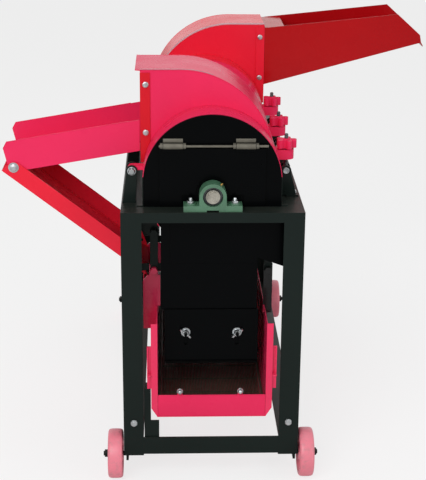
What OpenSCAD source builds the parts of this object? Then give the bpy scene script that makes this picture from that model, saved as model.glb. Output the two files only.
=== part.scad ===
// Small maize threshing machine: an angle iron stand on four wheels, a toothed drum along
// the stand, a shaken sieve box below it, a fan, two hooded covers, a feed tray and chutes.
// X runs across the stand, Y along the drum away from the near end, Z up from the floor.

/* [Stand] */
// How far the stand reaches past the round covers at each side
side_margin = 52; // [50:1:56]
// Length of the stand over its angle irons
frame_l = 1100; // [1060:5:1200]
// Height of the top rails above the floor
frame_top = 714; // [700:1:740]
// Flange width of the angle iron
angle_w = 50; // [45:1:52]
// Flange thickness of the angle iron
angle_t = 5; // [4:0.5:6]
// Drop of the two top cross rails
cross_drop = 25; // [20:1:40]
// Underside of the bottom rails above the floor
rail_bottom = 73; // [71:1:80]

/* [Wheels] */
// Outside diameter of a wheel
wheel_d = 125; // [115:1:126]
// Width of a wheel
wheel_w = 38; // [30:1:42]
// Diameter of the stub axles
axle_d = 12; // [10:0.5:12]
// Radial clearance of a wheel on its axle
axle_gap = 0.08; // [0.04:0.01:0.1]

/* [Drum] */
// Height of the drum axis above the top rails
shaft_rise = 36.5; // [34:0.5:40]
// Diameter of the drum shaft
shaft_d = 25; // [20:1:26]
// Radius to the tips of the drum teeth
tip_r = 126; // [110:1:130]
// Height of a tooth above its bar
tooth_h = 30; // [20:1:36]
// Diameter of a tooth
tooth_d = 12; // [8:1:16]
// Number of bars round the drum
bar_count = 4; // [3:1:6]
// Number of teeth along one bar
tooth_count = 9; // [6:1:12]
// Clear height from the tooth tips to the grate
grate_gap = 14; // [10:1:18]

/* [Covers] */
// Outside radius of the round covers
cover_r = 168; // [166:1:169]
// Height of the round covers' centre above the top rails
cover_rise = 60; // [55:1:64]
// Thickness of the cover sheet
sheet_t = 2; // [1.5:0.1:2.5]
// Height of the fixed side walls above the top rails
wall_h = 72; // [66:1:74]
// Length of the fixed cover over the far part of the drum
rear_cover_l = 338; // [320:1:360]
// Clearance between sheets that move past each other
sheet_gap = 1; // [0.5:0.1:2]

/* [Hoods, tray and chutes] */
// Width of the hoods along the drum
hood_w = 190; // [170:1:200]
// Height of the hood roofs above the top rails
hood_rise = 314; // [305:1:320]
// Radius of the hoods' round backs
hood_r = 230; // [225:1:234]
// Near wall of the inlet hood behind the near end of the stand
inlet_y = 140; // [132:1:150]
// Near wall of the outlet hood before the far end of the stand
outlet_back = 312; // [300:1:320]
// Slope of the feed tray, in degrees
tray_slope = 9.7; // [8:0.1:11]
// Length of the feed tray along its slope
tray_l = 322; // [300:1:330]
// Height of the feed tray's walls
tray_h = 76; // [70:1:78]
// Slope of the return chute, in degrees
return_slope = 38; // [36:0.5:40]
// How far the return chute's end reaches past the feed tray's end
return_past_tray = 5; // [0:1:12]
// Height of the return chute's walls
return_h = 40; // [34:1:42]
// Length of the outlet chute
outlet_l = 452; // [400:1:460]

/* [Sieve] */
// Width of the sieve box over its walls
sieve_w = 272; // [260:1:274]
// Length that the sieve box leaves free at the far end of the stand
sieve_short = 162; // [155:1:190]
// Underside of the sieve box above the floor
sieve_bottom = 183; // [180:1:184]
// Height of the sieve box walls
sieve_h = 251; // [245:1:254]
// Height of the near end gate
gate_h = 59; // [50:1:62]
// Travel of the sieve box to each side
sieve_travel = 6; // [3:0.5:8]
// Length of the hangers between their pivots
hanger_l = 100; // [96:1:104]

/* [Fan and drive] */
// Height of the fan axis above the floor
fan_z = 440; // [430:1:450]
// Tip radius of the fan blades
fan_r = 84; // [70:1:88]
// Diameter of the fan and crank shafts
small_shaft_d = 20; // [18:1:20]
// Pitch radius of the drum pulley
drum_pulley_r = 90; // [80:1:95]
// Pitch radius of the fan pulley that the drum drives
fan_pulley_r = 45; // [40:1:50]
// Pitch radius of the fan pulley that drives the crank
fan_small_r = 30; // [28:1:34]
// Pitch radius of the crank pulley
crank_pulley_r = 90; // [80:1:95]

/* [Hidden] */
$fn = 48;
fit = 0.05;
loose = 0.4;
steel_black = "#1f2524";
sheet_black = "#0d0f12";
red = "#e8123c";
dark_red = "#b01020";
zinc = "#b9bcc0";
cast_green = "#4f8a63";
hw = cover_r + side_margin;
top_z = frame_top;
foot_z = rail_bottom - 4;
rail_top = rail_bottom + angle_w;
near_y = angle_w;
far_y = frame_l - angle_w;
plate_t = 3;
axis_z = top_z + shaft_rise;
cover_z = top_z + cover_rise;
cover_in = cover_r - sheet_t;
chamber_near = near_y + plate_t;
chamber_far = far_y - plate_t;
front_near = chamber_near + loose;
rear_far = chamber_far - loose;
rear_near = rear_far - rear_cover_l;
front_far = rear_near - 2;
outlet_y = frame_l - outlet_back;
wall_top = top_z + wall_h;
skirt_z = wall_top + sheet_gap;
roof_z = top_z + hood_rise;
hood_cx = hood_r - cover_r + 13;
hood_cz = roof_z - hood_r;
hood_edge = cover_r + 5;
hood_floor_z = cover_z + 56;
hinge_x = -cover_r - 26;
hinge_z = top_z + 80;
hinge_pin_r = 5;
hinge_ys = [front_near + 47, front_near + 367, front_far - 56];
latch_ys = [front_near + 97, front_near + 327, front_far - 96];
latch_x = cover_r + 15.5;
latch_z = top_z + 66;
lug_z = top_z + 94;
lug_t = 24;
stud_r = 5;
knob_r = 26;
knob_h = 22;
knob_z = lug_z + lug_t + 2;
grate_r = tip_r + grate_gap;
grate_t = 8;
hopper_r = grate_r + grate_t + 5;
hopper_x = 112;
hopper_t = 1.5;
hopper_z0 = sieve_bottom + sieve_h - 6;
panel_t = 2;
panel_y = near_y + plate_t;
plate_low = top_z - 145;
panel_low = 330;
bearing_l = 140;
bearing_w = 38;
bearing_foot = 15;
bearing_pitch = 105;
bearing_head = 34.5;
ring_r = 17;
small_rise = 33.3;
small_l = 127;
small_pitch = 95;
small_head = 32;
small_ring_r = 14;
sieve_y0 = -12;
sieve_y1 = frame_l - sieve_short;
sieve_x = sieve_w / 2;
screen_z = 214;
hanger_x = sieve_x + 6;
hanger_top = top_z - 82;
hanger_ys = [104, frame_l - 240];
hanger_t = 4;
hanger_w = 20;
hanger_play = hanger_l - sqrt(pow(hanger_l, 2) - pow(sieve_travel, 2)) + 0.1;
pin_r = 5;
crank_x = 110;
crank_z = rail_top + small_rise;
crank_r = sieve_travel;
mid_rail_z = fan_z - small_rise;
fan_y0 = frame_l - 148;
fan_y1 = frame_l - 64;
scroll_r = 104;
board_z0 = fan_z + scroll_r + 6;
board_z1 = axis_z - grate_r - grate_t - 5;
belt1_y = frame_l + 32;
belt2_y = frame_l + 54;
belt_w = 10;
belt_h = 8;
groove_pitch = 22;
shaft_far = frame_l + 92;
drive_end_l = 21;
air_x = 116;
air_z0 = 306;
air_z1 = 447;
air_travel = 30;
stud_x = 64;
stud_z = 387;
tray_t = 2;
tray_gap = 3;
tray_y0 = inlet_y - tray_gap - tray_t;
tray_y1 = inlet_y + hood_w + tray_gap + tray_t;
return_y0 = tray_y0 - 2 - tray_t;
return_y1 = tray_y1 + 2 + tray_t;
// How far the return chute's lower end stands inside the round cover's side
return_in = 10;
return_px = return_in - cover_r;
return_pz = top_z - 209;
return_lean = 21;
return_pivot = [-32, 8];
return_pin_r = 4;
lip_reach = 10.5;
tray_end = hood_edge + 2 + (tray_l + 4) * cos(tray_slope) + (tray_h - 14) * sin(tray_slope);
return_end = tray_end + return_past_tray;
return_l = (return_end + return_px) / cos(return_slope) - 4;
x_mid = (hood_edge + 1 + outlet_l + lip_reach - max(tray_end, return_end)) / 2;
y_mid = (near_y / 2 - wheel_d / 2 + shaft_far) / 2;

// Moves the machine so that its origin is under the middle of its outer box
module placed() { translate([-x_mid, -y_mid, 0]) children(); }

// A box given by its two corners
module slab(a, b) { translate(a) cube(b - a); }

// A round bar along Y from y0 to y1
module bar_y(x, z, r, y0, y1) {
    translate([x, y0, z]) rotate([-90, 0, 0]) cylinder(r = r, h = y1 - y0);
}

// A round bar along X from x0 to x1
module bar_x(y, z, r, x0, x1) {
    translate([x0, y, z]) rotate([0, 90, 0]) cylinder(r = r, h = x1 - x0);
}

// A flat outline in X and Z, given a thickness along Y
module sheet_xz(y0, y1) {
    translate([0, y1, 0]) rotate([90, 0, 0]) linear_extrude(y1 - y0) children();
}

// A hexagon head or nut along Y
module hex_y(x, z, af, y0, y1) {
    translate([x, y0, z]) rotate([-90, 0, 0]) cylinder(d = af / cos(30), h = y1 - y0, $fn = 6);
}

// A hexagon head or nut along Z
module hex_z(x, y, af, z0, z1) {
    translate([x, y, z0]) cylinder(d = af / cos(30), h = z1 - z0, $fn = 6);
}

// The left legs with their top and bottom rails
module side_frame(bracket_ys) {
    leg_top = top_z;
    for (far = [0, 1]) {
        y0 = far ? frame_l - angle_t : 0;
        y2 = far ? frame_l - angle_w : 0;
        difference() {
            union() {
                slab([-hw, y0, foot_z], [-hw + angle_w, y0 + angle_t, leg_top]);
                slab([-hw, y2, foot_z], [-hw + angle_t, y2 + angle_w, leg_top]);
            }
            leg_holes();
        }
    }
    difference() {
        union() {
            slab([-hw, 0, top_z - angle_t], [-hw + angle_w, frame_l, top_z]);
            slab([-hw, angle_w, top_z - angle_w], [-hw + angle_t, far_y, top_z]);
        }
        for (y = bracket_ys)
            translate([-bracket_hole_x, y, top_z - angle_t - 1]) cylinder(r = 4.5, h = angle_t + 2);
    }
    slab([-hw, angle_w, rail_bottom], [-hw + angle_t, far_y, rail_top]);
    slab([-hw + angle_t, angle_t, rail_top - angle_t], [-hw + angle_w, frame_l - angle_t, rail_top]);
}

leg_hole_x = hw - 26;
leg_hole_z = 161;
drive_hole_zs = [230, 330];
m10_hole = 5.5;

// Bolt holes through the near and far faces of a leg
module leg_holes() {
    bar_y(-leg_hole_x, leg_hole_z, m10_hole, -1, angle_t + 1);
    for (z = drive_hole_zs) bar_y(-leg_hole_x, z, m10_hole, far_y, frame_l + 1);
}

bracket_hole_x = hw - 15;
module left_side_frame() { color(steel_black) placed() side_frame(hinge_ys); }

module right_side_frame() { color(steel_black) placed() mirror([1, 0, 0]) side_frame(latch_ys); }

// The rails that join the two sides at both ends, and the two that carry bearings
module cross_rails() {
    color(steel_black) placed() {
        ix = hw - angle_w;
        difference() {
            union() {
                slab([-ix, 0, top_z - angle_t], [ix, near_y, top_z]);
                slab([-ix, 0, top_z - cross_drop], [ix, angle_t, top_z]);
            }
            for (s = [-1, 1]) bearing_hole(s * bearing_pitch / 2, near_y / 2, top_z);
        }
        difference() {
            union() {
                slab([-ix, far_y, top_z - angle_t], [ix, frame_l, top_z]);
                slab([-ix, frame_l - angle_t, top_z - cross_drop], [ix, frame_l, top_z]);
            }
            for (s = [-1, 1]) bearing_hole(s * bearing_pitch / 2, frame_l - near_y / 2, top_z);
        }
        slab([-ix, 0, rail_bottom], [ix, angle_t, rail_top - 4]);
        slab([-ix, 0, rail_bottom], [ix, near_y, rail_bottom + angle_t]);
        slab([-ix, frame_l - angle_t, rail_bottom], [ix, frame_l, rail_top]);
        difference() {
            slab([-ix, far_y, rail_top - angle_t], [ix, frame_l, rail_top]);
            for (s = [-1, 1]) bearing_hole(crank_x + s * small_pitch / 2, frame_l - near_y / 2, rail_top);
        }
        difference() {
            slab([-ix, inner_y - near_y / 2, rail_top - angle_t], [ix, inner_y + near_y / 2, rail_top]);
            for (s = [-1, 1]) bearing_hole(crank_x + s * small_pitch / 2, inner_y, rail_top);
        }
        slab([-ix, inner_y - near_y / 2, rail_bottom],
            [ix, inner_y - near_y / 2 + angle_t, rail_top - angle_t]);
        slab([-ix, frame_l - angle_t, mid_rail_z - angle_w], [ix, frame_l, mid_rail_z]);
        difference() {
            slab([-ix, far_y, mid_rail_z - angle_t], [ix, frame_l, mid_rail_z]);
            for (s = [-1, 1]) bearing_hole(s * small_pitch / 2, frame_l - near_y / 2, mid_rail_z);
        }
    }
}

// A bolt hole down through a rail under a bearing's foot
module bearing_hole(x, y, z) { translate([x, y, z - angle_t - 1]) cylinder(r = 5.5, h = angle_t + 2); }

// A bolt with head, washer and nut, standing along Z, gripping from z0 to z1
module bolt_z(x, y, r, z0, z1, af) {
    translate([x, y, z0 - 1]) cylinder(r = r, h = z1 - z0 + 17);
    hex_z(x, y, af, z0 - 7, z0);
    translate([x, y, z1]) cylinder(r = af * 0.62, h = 2);
    hex_z(x, y, af, z1 + 2, z1 + 10);
}

// A bolt along Y, its head at the near side, gripping from y0 to y1
module bolt_y(x, z, r, y0, y1, af) {
    bar_y(x, z, r, y0 - 1, y1 + 12);
    hex_y(x, z, af, y0 - 6, y0);
    hex_y(x, z, af, y1, y1 + 7);
}

bolt10_r = 5;
inner_y = frame_l - 88;
module frame_fasteners() {
    color(zinc) placed() {
        for (s = [-1, 1]) bolt_y(s * leg_hole_x, leg_hole_z, bolt10_r, 0, angle_t, 16);
        for (y = [near_y / 2, frame_l - near_y / 2]) {
            for (s = [-1, 1])
                bolt_z(s * bearing_pitch / 2, y, bolt10_r, top_z - angle_t, top_z + bearing_foot, 16);
        }
        for (s = [-1, 1]) {
            bolt_z(s * small_pitch / 2, frame_l - near_y / 2, bolt10_r,
                mid_rail_z - angle_t, mid_rail_z + bearing_foot, 16);
            bolt_z(crank_x + s * small_pitch / 2, frame_l - near_y / 2, bolt10_r,
                rail_top - angle_t, rail_top + bearing_foot, 16);
        }
        for (y = hinge_ys) bracket_bolt(-bracket_hole_x, y);
        for (y = latch_ys) bracket_bolt(bracket_hole_x, y);
        for (s = [-1, 1]) bolt_z(crank_x + s * small_pitch / 2, inner_y, bolt10_r,
            rail_top - angle_t, rail_top + bearing_foot, 16);
    }
}

// A bolt with its nut through a bracket's base and the top rail
module bracket_bolt(x, y) {
    translate([x, y, top_z - angle_t - 5]) cylinder(r = 4, h = angle_t + 17);
    hex_z(x, y, 13, top_z - angle_t - 5, top_z - angle_t);
    hex_z(x, y, 13, top_z + 4, top_z + 11);
}

axle_z = wheel_d / 2;
wheel_in = hw + 3;
wheel_out = wheel_in + wheel_w;
axle_ys = [near_y / 2, frame_l - near_y / 2];

// The plates inside the legs, each with its stub axle, collar and end nut
bracket_drop = 11;
module wheel_brackets() {
    color(steel_black) placed() for (y = axle_ys) for (s = [0, 1]) mirror([s, 0, 0]) {
        bx = -hw + angle_t;
        slab([bx, y - 18, axle_z - bracket_drop], [bx + 6, y + 18, rail_top - angle_t]);
        bar_x(y, axle_z, axle_d / 2, -wheel_out - 12, bx + 1);
        translate([-wheel_out - 9, y, axle_z]) rotate([0, 90, 0])
            cylinder(d = 19 / cos(30), h = 8.6, $fn = 6);
    }
}

// A wheel with a crowned tread, hollowed sides and a bored hub
module wheel() {
    r = wheel_d / 2;
    h = wheel_w / 2;
    rotate([0, 90, 0]) rotate_extrude($fn = 72) polygon([
        [axle_d / 2 + axle_gap, -h], [17, -h], [20, -h + 7], [r - 15, -h + 7], [r - 12, -h + 1],
        [r - 4, -h + 1], [r - 1, -h + 5], [r, -4], [r, 4], [r - 1, h - 5], [r - 4, h - 1],
        [r - 12, h - 1], [r - 15, h - 7], [20, h - 7], [17, h], [axle_d / 2 + axle_gap, h]
    ]);
}

module wheel_at(s, y) {
    color("#e0405c") placed() translate([s * (wheel_in + wheel_w / 2), y, axle_z]) wheel();
}
module wheel_near_left() { wheel_at(-1, axle_ys[0]); }
module wheel_near_right() { wheel_at(1, axle_ys[0]); }
module wheel_far_left() { wheel_at(-1, axle_ys[1]); }
module wheel_far_right() { wheel_at(1, axle_ys[1]); }

// The upright stop beside the near left corner of the sieve box
post_x = hw - 52;
module guide_post() {
    color(steel_black) placed() {
        slab([-post_x, angle_t, rail_bottom + angle_t], [-post_x + 16, angle_t + 34, 254]);
        slab([-post_x + 16, angle_t, rail_bottom + angle_t], [-post_x + 37, angle_t + 5, 164]);
    }
}

// The round-topped outline of the drum chamber, from z0 up
module arch(r, z0) {
    intersection() {
        union() {
            translate([0, cover_z]) circle(r = r, $fn = 128);
            translate([-r, z0]) square([2 * r, cover_z - z0]);
        }
        translate([-r, z0]) square([2 * r, cover_z + r - z0]);
    }
}

bearing_notch = 40;
flap_x = 127;
flap_top = top_z + 152;
flap_y = near_y - 3.6;
flap_t = 2;
flap_rod_r = 3;
knuckle_xs = [[-118, -71], [55, 102]];
window_x = 104;
window_z0 = top_z + 78;
window_z1 = top_z + 134;

// The near end of the drum chamber, with a service opening behind the flap and a skirt
// below the top rail that reaches down further on its right
panel_left = 102;
skirt_right = hw - 11;
module near_end_plate() {
    color(sheet_black) placed() difference() {
        sheet_xz(near_y, near_y + plate_t) union() {
            arch(cover_in - loose, top_z);
            polygon([[-panel_left, top_z], [-panel_left, plate_low], [hopper_x, plate_low],
                [hopper_x, top_z - 131], [skirt_right, top_z - 166], [skirt_right, top_z - angle_t],
                [cover_r - 3, top_z - angle_t], [cover_r - 3, top_z]]);
        }
        slab([-window_x, 0, window_z0], [window_x, 99, window_z1]);
        bar_y(0, axis_z, 20, 0, 99);
    }
}

module far_end_plate() {
    color(sheet_black) placed() difference() {
        sheet_xz(far_y - plate_t, far_y) arch(cover_in - loose, plate_low);
        bar_y(0, axis_z, 20, far_y - 9, far_y + 9);
    }
}

// The fixed walls beside the drum, up to the covers
module chamber_side_walls() {
    color(steel_black) placed() for (s = [0, 1]) mirror([s, 0, 0]) {
        slab([-cover_r, chamber_near, top_z], [-cover_in, chamber_far, wall_top]);
        slab([-cover_r - 14, chamber_near, top_z], [-cover_r, chamber_far, top_z + 2]);
    }
}

// The rod of the end flap with its fixed outer knuckles
module flap_hinge_rod() {
    color("#8a8478") placed() {
        y = flap_y - 5;
        bar_x(y, flap_top, flap_rod_r, -128, 132);
        for (k = knuckle_xs) for (x = [k[0] - 7, k[1] + 1]) {
            bar_x(y, flap_top, 6, x, x + 6);
            slab([x, y - 1, flap_top], [x + 6, near_y, flap_top + 6]);
        }
    }
}

// The flap over the service opening, notched round the bearing
module end_flap() {
    color(sheet_black) placed() {
        y = flap_y - 5;
        difference() {
            union() {
                sheet_xz(flap_y - flap_t, flap_y) flap_outline();
                for (x = knuckle_xs) {
                    bar_x(y, flap_top, 6.5, x[0], x[1]);
                    slab([x[0], y - 1, flap_top - 14], [x[1], flap_y, flap_top - 4]);
                }
            }
            for (x = knuckle_xs) bar_x(y, flap_top, flap_rod_r + fit, x[0] - 9, x[1] + 9);
        }
    }
}
module flap_outline() {
    difference() {
        translate([-flap_x, top_z + 4]) square([2 * flap_x, flap_top - top_z - 11]);
        translate([-bearing_l / 2 - 4, top_z]) square([bearing_l + 8, bearing_foot + 16]);
        translate([0, axis_z]) circle(r = bearing_notch);
    }
}

// A cast pillow block seen along Y, centred on its shaft
module pillow(l, w, foot, rise, head, bore) {
    difference() {
        union() {
            translate([-l / 2, -w / 2, -rise]) cube([l, w, foot]);
            translate([0, w / 2, 0]) rotate([90, 0, 0]) cylinder(r = head, h = w);
            translate([-head, -w / 2, -rise]) cube([2 * head, w, rise]);
        }
        translate([0, w, 0]) rotate([90, 0, 0]) cylinder(r = bore, h = 2 * w);
        for (s = [-1, 1]) translate([s * pitch_of(l), 0, -rise - 1]) cylinder(r = 5.5, h = foot + 2);
    }
}
function pitch_of(l) = l == bearing_l ? bearing_pitch / 2 : small_pitch / 2;

module drum_bearings() {
    color(cast_green) placed() for (y = [near_y / 2, frame_l - near_y / 2])
        translate([0, y, axis_z])
            pillow(bearing_l, bearing_w, bearing_foot, shaft_rise, bearing_head, ring_r + fit);
}

module lower_bearings() {
    color(cast_green) placed() {
        y = frame_l - near_y / 2;
        translate([0, y, fan_z])
            pillow(small_l, bearing_w, bearing_foot, small_rise, small_head, small_ring_r + fit);
        for (c = [y, inner_y]) translate([crank_x, c, crank_z])
            pillow(small_l, bearing_w, bearing_foot, small_rise, small_head, small_ring_r + fit);
        difference() {
            bar_y(0, fan_z, 30, fan_y0 - 6, fan_y0);
            bar_y(0, fan_z, small_shaft_d / 2 + fit, fan_y0 - 9, fan_y0 + 9);
        }
    }
}

module grease_nipples() {
    color("#c08a3a") placed() for (y = [near_y / 2, frame_l - near_y / 2])
        translate([0, y, axis_z]) rotate([0, 38, 0]) translate([0, 0, bearing_head]) {
            cylinder(r = 3, h = 2);
            cylinder(r = 2, h = 4.5);
        }
}

// The drum shaft with the bearings' inner rings and its drive end
module drum_shaft() {
    color(zinc) placed() {
        bar_y(0, axis_z, shaft_d / 2, 5, shaft_far - drive_end_l);
        bar_y(0, axis_z, shaft_d / 2 - 0.5, shaft_far - drive_end_l, shaft_far);
        for (y = [near_y / 2, frame_l - near_y / 2]) bar_y(0, axis_z, ring_r, y - 17, y + 17);
    }
}

// The discs and bars of the drum
disc_gap = (chamber_far - chamber_near - 46) / 4;
disc_ys = [for (i = [0:4]) chamber_near + 19 + i * disc_gap];
bar_r = tip_r - tooth_h;
module drum_rotor() {
    color(steel_black) placed() translate([0, 0, axis_z]) difference() {
        union() {
            for (y = disc_ys) bar_y(0, 0, bar_r - 10, y, y + 6);
            for (y = disc_ys) bar_y(0, 0, 24, y - 8, y + 14);
            for (i = [0:bar_count - 1]) rotate([0, i * 360 / bar_count, 0])
                slab([bar_r - 12, disc_ys[0] - 10, -20], [bar_r, disc_ys[4] + 16, 20]);
        }
        bar_y(0, 0, shaft_d / 2, 0, frame_l);
    }
}

// The round teeth on the drum's bars
module drum_teeth() {
    pitch = (disc_ys[4] - disc_ys[0] - 40) / (tooth_count - 1);
    color("#5a5c60") placed() translate([0, 0, axis_z]) for (i = [0:bar_count - 1]) {
        shift = (i % 2) * pitch / 2 - pitch / 4;
        for (j = [0:tooth_count - 1]) rotate([0, i * 360 / bar_count, 0])
            bar_x(disc_ys[0] + 23 + shift + j * pitch, 0, tooth_d / 2, bar_r, tip_r);
    }
}

// The grate under the drum: round bars along it on arched ribs
grate_bars = 19;
rib_pitch = (chamber_far - chamber_near - 16) / 7;
rib_ys = [for (i = [0:7]) chamber_near + 4 + i * rib_pitch];
module concave_grate() {
    color(steel_black) placed() {
        for (y = rib_ys) sheet_xz(y, y + 8) difference() {
            translate([0, axis_z]) circle(r = grate_r + grate_t, $fn = 96);
            translate([0, axis_z]) circle(r = grate_r, $fn = 96);
            translate([-200, top_z - 6]) square([400, 300]);
        }
        for (i = [0:grate_bars - 1]) {
            a = -163 + i * 146 / (grate_bars - 1);
            r = grate_r + grate_t / 2;
            bar_y(r * cos(a), axis_z + r * sin(a), 3.5, panel_y + panel_t + 1, chamber_far - 1);
        }
        for (s = [0, 1]) mirror([s, 0, 0])
            slab([-hw + angle_w, chamber_near, top_z - 7], [-grate_r + 4, chamber_far, top_z - 1]);
    }
}

// The sheets that gather the grain into the sieve box, with a sloping board over the fan
module hopper_sides() {
    color(sheet_black) placed() {
        for (s = [0, 1]) mirror([s, 0, 0]) difference() {
            sheet_xz(panel_y + panel_t, chamber_far) union() {
                translate([-hopper_x, hopper_z0]) square([hopper_t, bend_z() - hopper_z0]);
                difference() {
                    translate([0, axis_z]) circle(r = hopper_r + hopper_t, $fn = 96);
                    translate([0, axis_z]) circle(r = hopper_r, $fn = 96);
                    translate([-200, top_z - 8]) square([400, 300]);
                    translate([-hopper_x + hopper_t, axis_z - 200]) square([400, 300]);
                    translate([-200, axis_z - 300]) square([400, 300 - (axis_z - bend_z())]);
                }
            }
            slab([-200, fan_y0 - 6, 0], [200, frame_l, board_z0]);
        }
        translate([-hopper_x + hopper_t, 0, 0]) rotate([90, 0, 90]) linear_extrude(2 * (hopper_x - hopper_t))
            polygon([[fan_y0 - 6, board_z0], [chamber_far, board_z1], [chamber_far, board_z1 + 2],
                [fan_y0 - 6, board_z0 + 2]]);
    }
}
function bend_z() = axis_z - sqrt(pow(hopper_r + hopper_t, 2) - hopper_x * hopper_x);

// The lower end panel with the two studs of the air plate, wider above the sieve box
panel_edge = sieve_x - 11;
panel_step = sieve_bottom + sieve_h + 12;
module lower_end_panel() {
    color(sheet_black) placed() {
        slab([-hopper_x, panel_y, panel_low], [hopper_x, panel_y + panel_t, top_z - 20]);
        slab([-panel_edge, panel_y, panel_step], [-hopper_x, panel_y + panel_t, top_z - 20]);
        for (s = [-1, 1]) bar_y(s * stud_x, stud_z, 4, panel_y - 24, panel_y + 1);
    }
}

// The plate that opens or closes the air outlet, slotted on its studs
module air_plate() {
    color(steel_black) placed() difference() {
        union() {
            slab([-air_x, panel_y - 4, air_z0], [air_x, panel_y - 1.5, air_z1]);
            slab([-air_x, panel_y - 12, air_z0], [air_x, panel_y - 4, air_z0 + 2]);
        }
        for (s = [-1, 1]) sheet_xz(0, 99) union() {
            translate([s * stud_x, stud_z + 3]) circle(r = 4.4);
            translate([s * stud_x, stud_z - air_travel - 1]) circle(r = 4.4);
            translate([s * stud_x - 4.4, stud_z - air_travel - 1]) square([8.8, air_travel + 4]);
        }
    }
}

// A wing nut on its washer
module wing_nut(s) {
    color(zinc) placed() difference() {
        union() {
            bar_y(s * stud_x, stud_z, 12, panel_y - 6.1, panel_y - 4.5);
            bar_y(s * stud_x, stud_z, 8, panel_y - 17, panel_y - 6.1);
            sheet_xz(panel_y - 20, panel_y - 9) translate([s * stud_x, stud_z]) rotate(s * 38) wings();
        }
        bar_y(s * stud_x, stud_z, 4 + fit, 0, 99);
    }
}
wing_r = 13;
module wings() {
    translate([-wing_r, -2.5]) square([2 * wing_r, 5]);
    for (d = [-1, 1]) translate([d * wing_r, 0]) circle(r = 5);
}
module wing_nut_left() { wing_nut(-1); }
module wing_nut_right() { wing_nut(1); }

// The fan casing and the duct that leads down and out into the sieve box
duct_z0 = 232;
duct_z1 = 330;
module fan_housing() {
    color(steel_black) placed() difference() {
        union() {
            bar_y(0, fan_z, scroll_r, fan_y0, fan_y1);
            slab([-scroll_r, fan_y0, duct_z0], [scroll_r, fan_y1, fan_z]);
            for (s = [-1, 1])
                slab([s * 80 - 20, fan_y1 - 1, mid_rail_z - angle_t], [s * 80 + 20, far_y, mid_rail_z]);
        }
        bar_y(0, fan_z, scroll_r - 2, fan_y0 + 2, fan_y1 - 2);
        slab([-scroll_r + 2, fan_y0 + 2, duct_z0 + 2], [scroll_r - 2, fan_y1 - 7, fan_z]);
        slab([-scroll_r + 6, fan_y0 - 5, duct_z0 + 6], [scroll_r - 6, fan_y0 + 5, duct_z1]);
        bar_y(0, fan_z, 55, fan_y1 - 20, fan_y1 + 9);
        bar_y(0, fan_z, small_ring_r, fan_y0 - 9, fan_y0 + 9);
    }
}

module fan_rotor() {
    color(zinc) placed() {
        bar_y(0, fan_z, small_shaft_d / 2, fan_y0 - 7, frame_l + 75);
        bar_y(0, fan_z, small_ring_r, frame_l - near_y / 2 - 17, frame_l - near_y / 2 + 17);
        bar_y(0, fan_z, 26, fan_y0 + 14, fan_y1 - 20);
        for (i = [0:5]) translate([0, 0, fan_z]) rotate([0, i * 60, 0])
            slab([20, fan_y0 + 12, -1.5], [fan_r, fan_y1 - 18, 1.5]);
    }
}

// A grooved pulley rim profile: two cheeks and a floor, in radius and width
module groove(r, y) {
    translate([0, y, 0]) rotate([-90, 0, 0]) rotate_extrude($fn = 96) polygon([
        [r - 22, -groove_pitch / 2], [r + 5, -groove_pitch / 2], [r + 5, -8], [r - 6, -5.6],
        [r - 6, 5.6], [r + 5, 8], [r + 5, groove_pitch / 2], [r - 22, groove_pitch / 2]
    ]);
}

module pulley_hub(r, y0, y1, bore) {
    difference() {
        bar_y(0, 0, r, y0, y1);
        bar_y(0, 0, bore, y0 - 1, y1 + 1);
    }
}

module drum_pulley() {
    color("#3c4043") placed() translate([0, 0, axis_z]) {
        groove(drum_pulley_r, belt1_y);
        groove(drum_pulley_r, belt2_y);
        pulley_hub(24, belt1_y - 11, belt2_y + 15, shaft_d / 2);
        for (i = [0:4]) rotate([0, i * 72, 0])
            slab([22, belt1_y - 2, -9], [drum_pulley_r - 20, belt2_y + 2, 9]);
    }
}

module fan_pulley() {
    color("#3c4043") placed() translate([0, 0, fan_z]) {
        difference() {
            union() {
                groove(fan_pulley_r, belt1_y);
                groove(fan_small_r, belt2_y);
                bar_y(0, 0, 26, belt1_y - 11, belt1_y + 11);
            }
            bar_y(0, 0, small_shaft_d / 2, belt1_y - 20, belt2_y + 20);
        }
        pulley_hub(14, belt1_y + 11, belt2_y + 14, small_shaft_d / 2);
    }
}

module crank_pulley() {
    color("#3c4043") placed() translate([crank_x, 0, crank_z]) {
        groove(crank_pulley_r, belt2_y);
        pulley_hub(24, belt2_y - 16, belt2_y + 11, small_shaft_d / 2);
        for (i = [0:4]) rotate([0, i * 72, 0])
            slab([22, belt2_y - 5, -8], [crank_pulley_r - 20, belt2_y + 5, 8]);
    }
}

// A closed belt round two pulleys: a belt-high band between outer and inner loops
module belt(x0, z0, r0, x1, z1, r1, y) {
    lift = 1.5;
    sheet_xz(y - belt_w / 2, y + belt_w / 2) difference() {
        hull() {
            translate([x0, z0]) circle(r = r0 + lift + belt_h / 2, $fn = 64);
            translate([x1, z1]) circle(r = r1 + lift + belt_h / 2, $fn = 64);
        }
        hull() {
            translate([x0, z0]) circle(r = r0 + lift - belt_h / 2, $fn = 64);
            translate([x1, z1]) circle(r = r1 + lift - belt_h / 2, $fn = 64);
        }
    }
}
module fan_belt() {
    color("#17181a") placed() belt(0, axis_z, drum_pulley_r, 0, fan_z, fan_pulley_r, belt1_y);
}
module crank_belt() {
    color("#17181a") placed() belt(0, fan_z, fan_small_r, crank_x, crank_z, crank_pulley_r, belt2_y);
}

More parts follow.
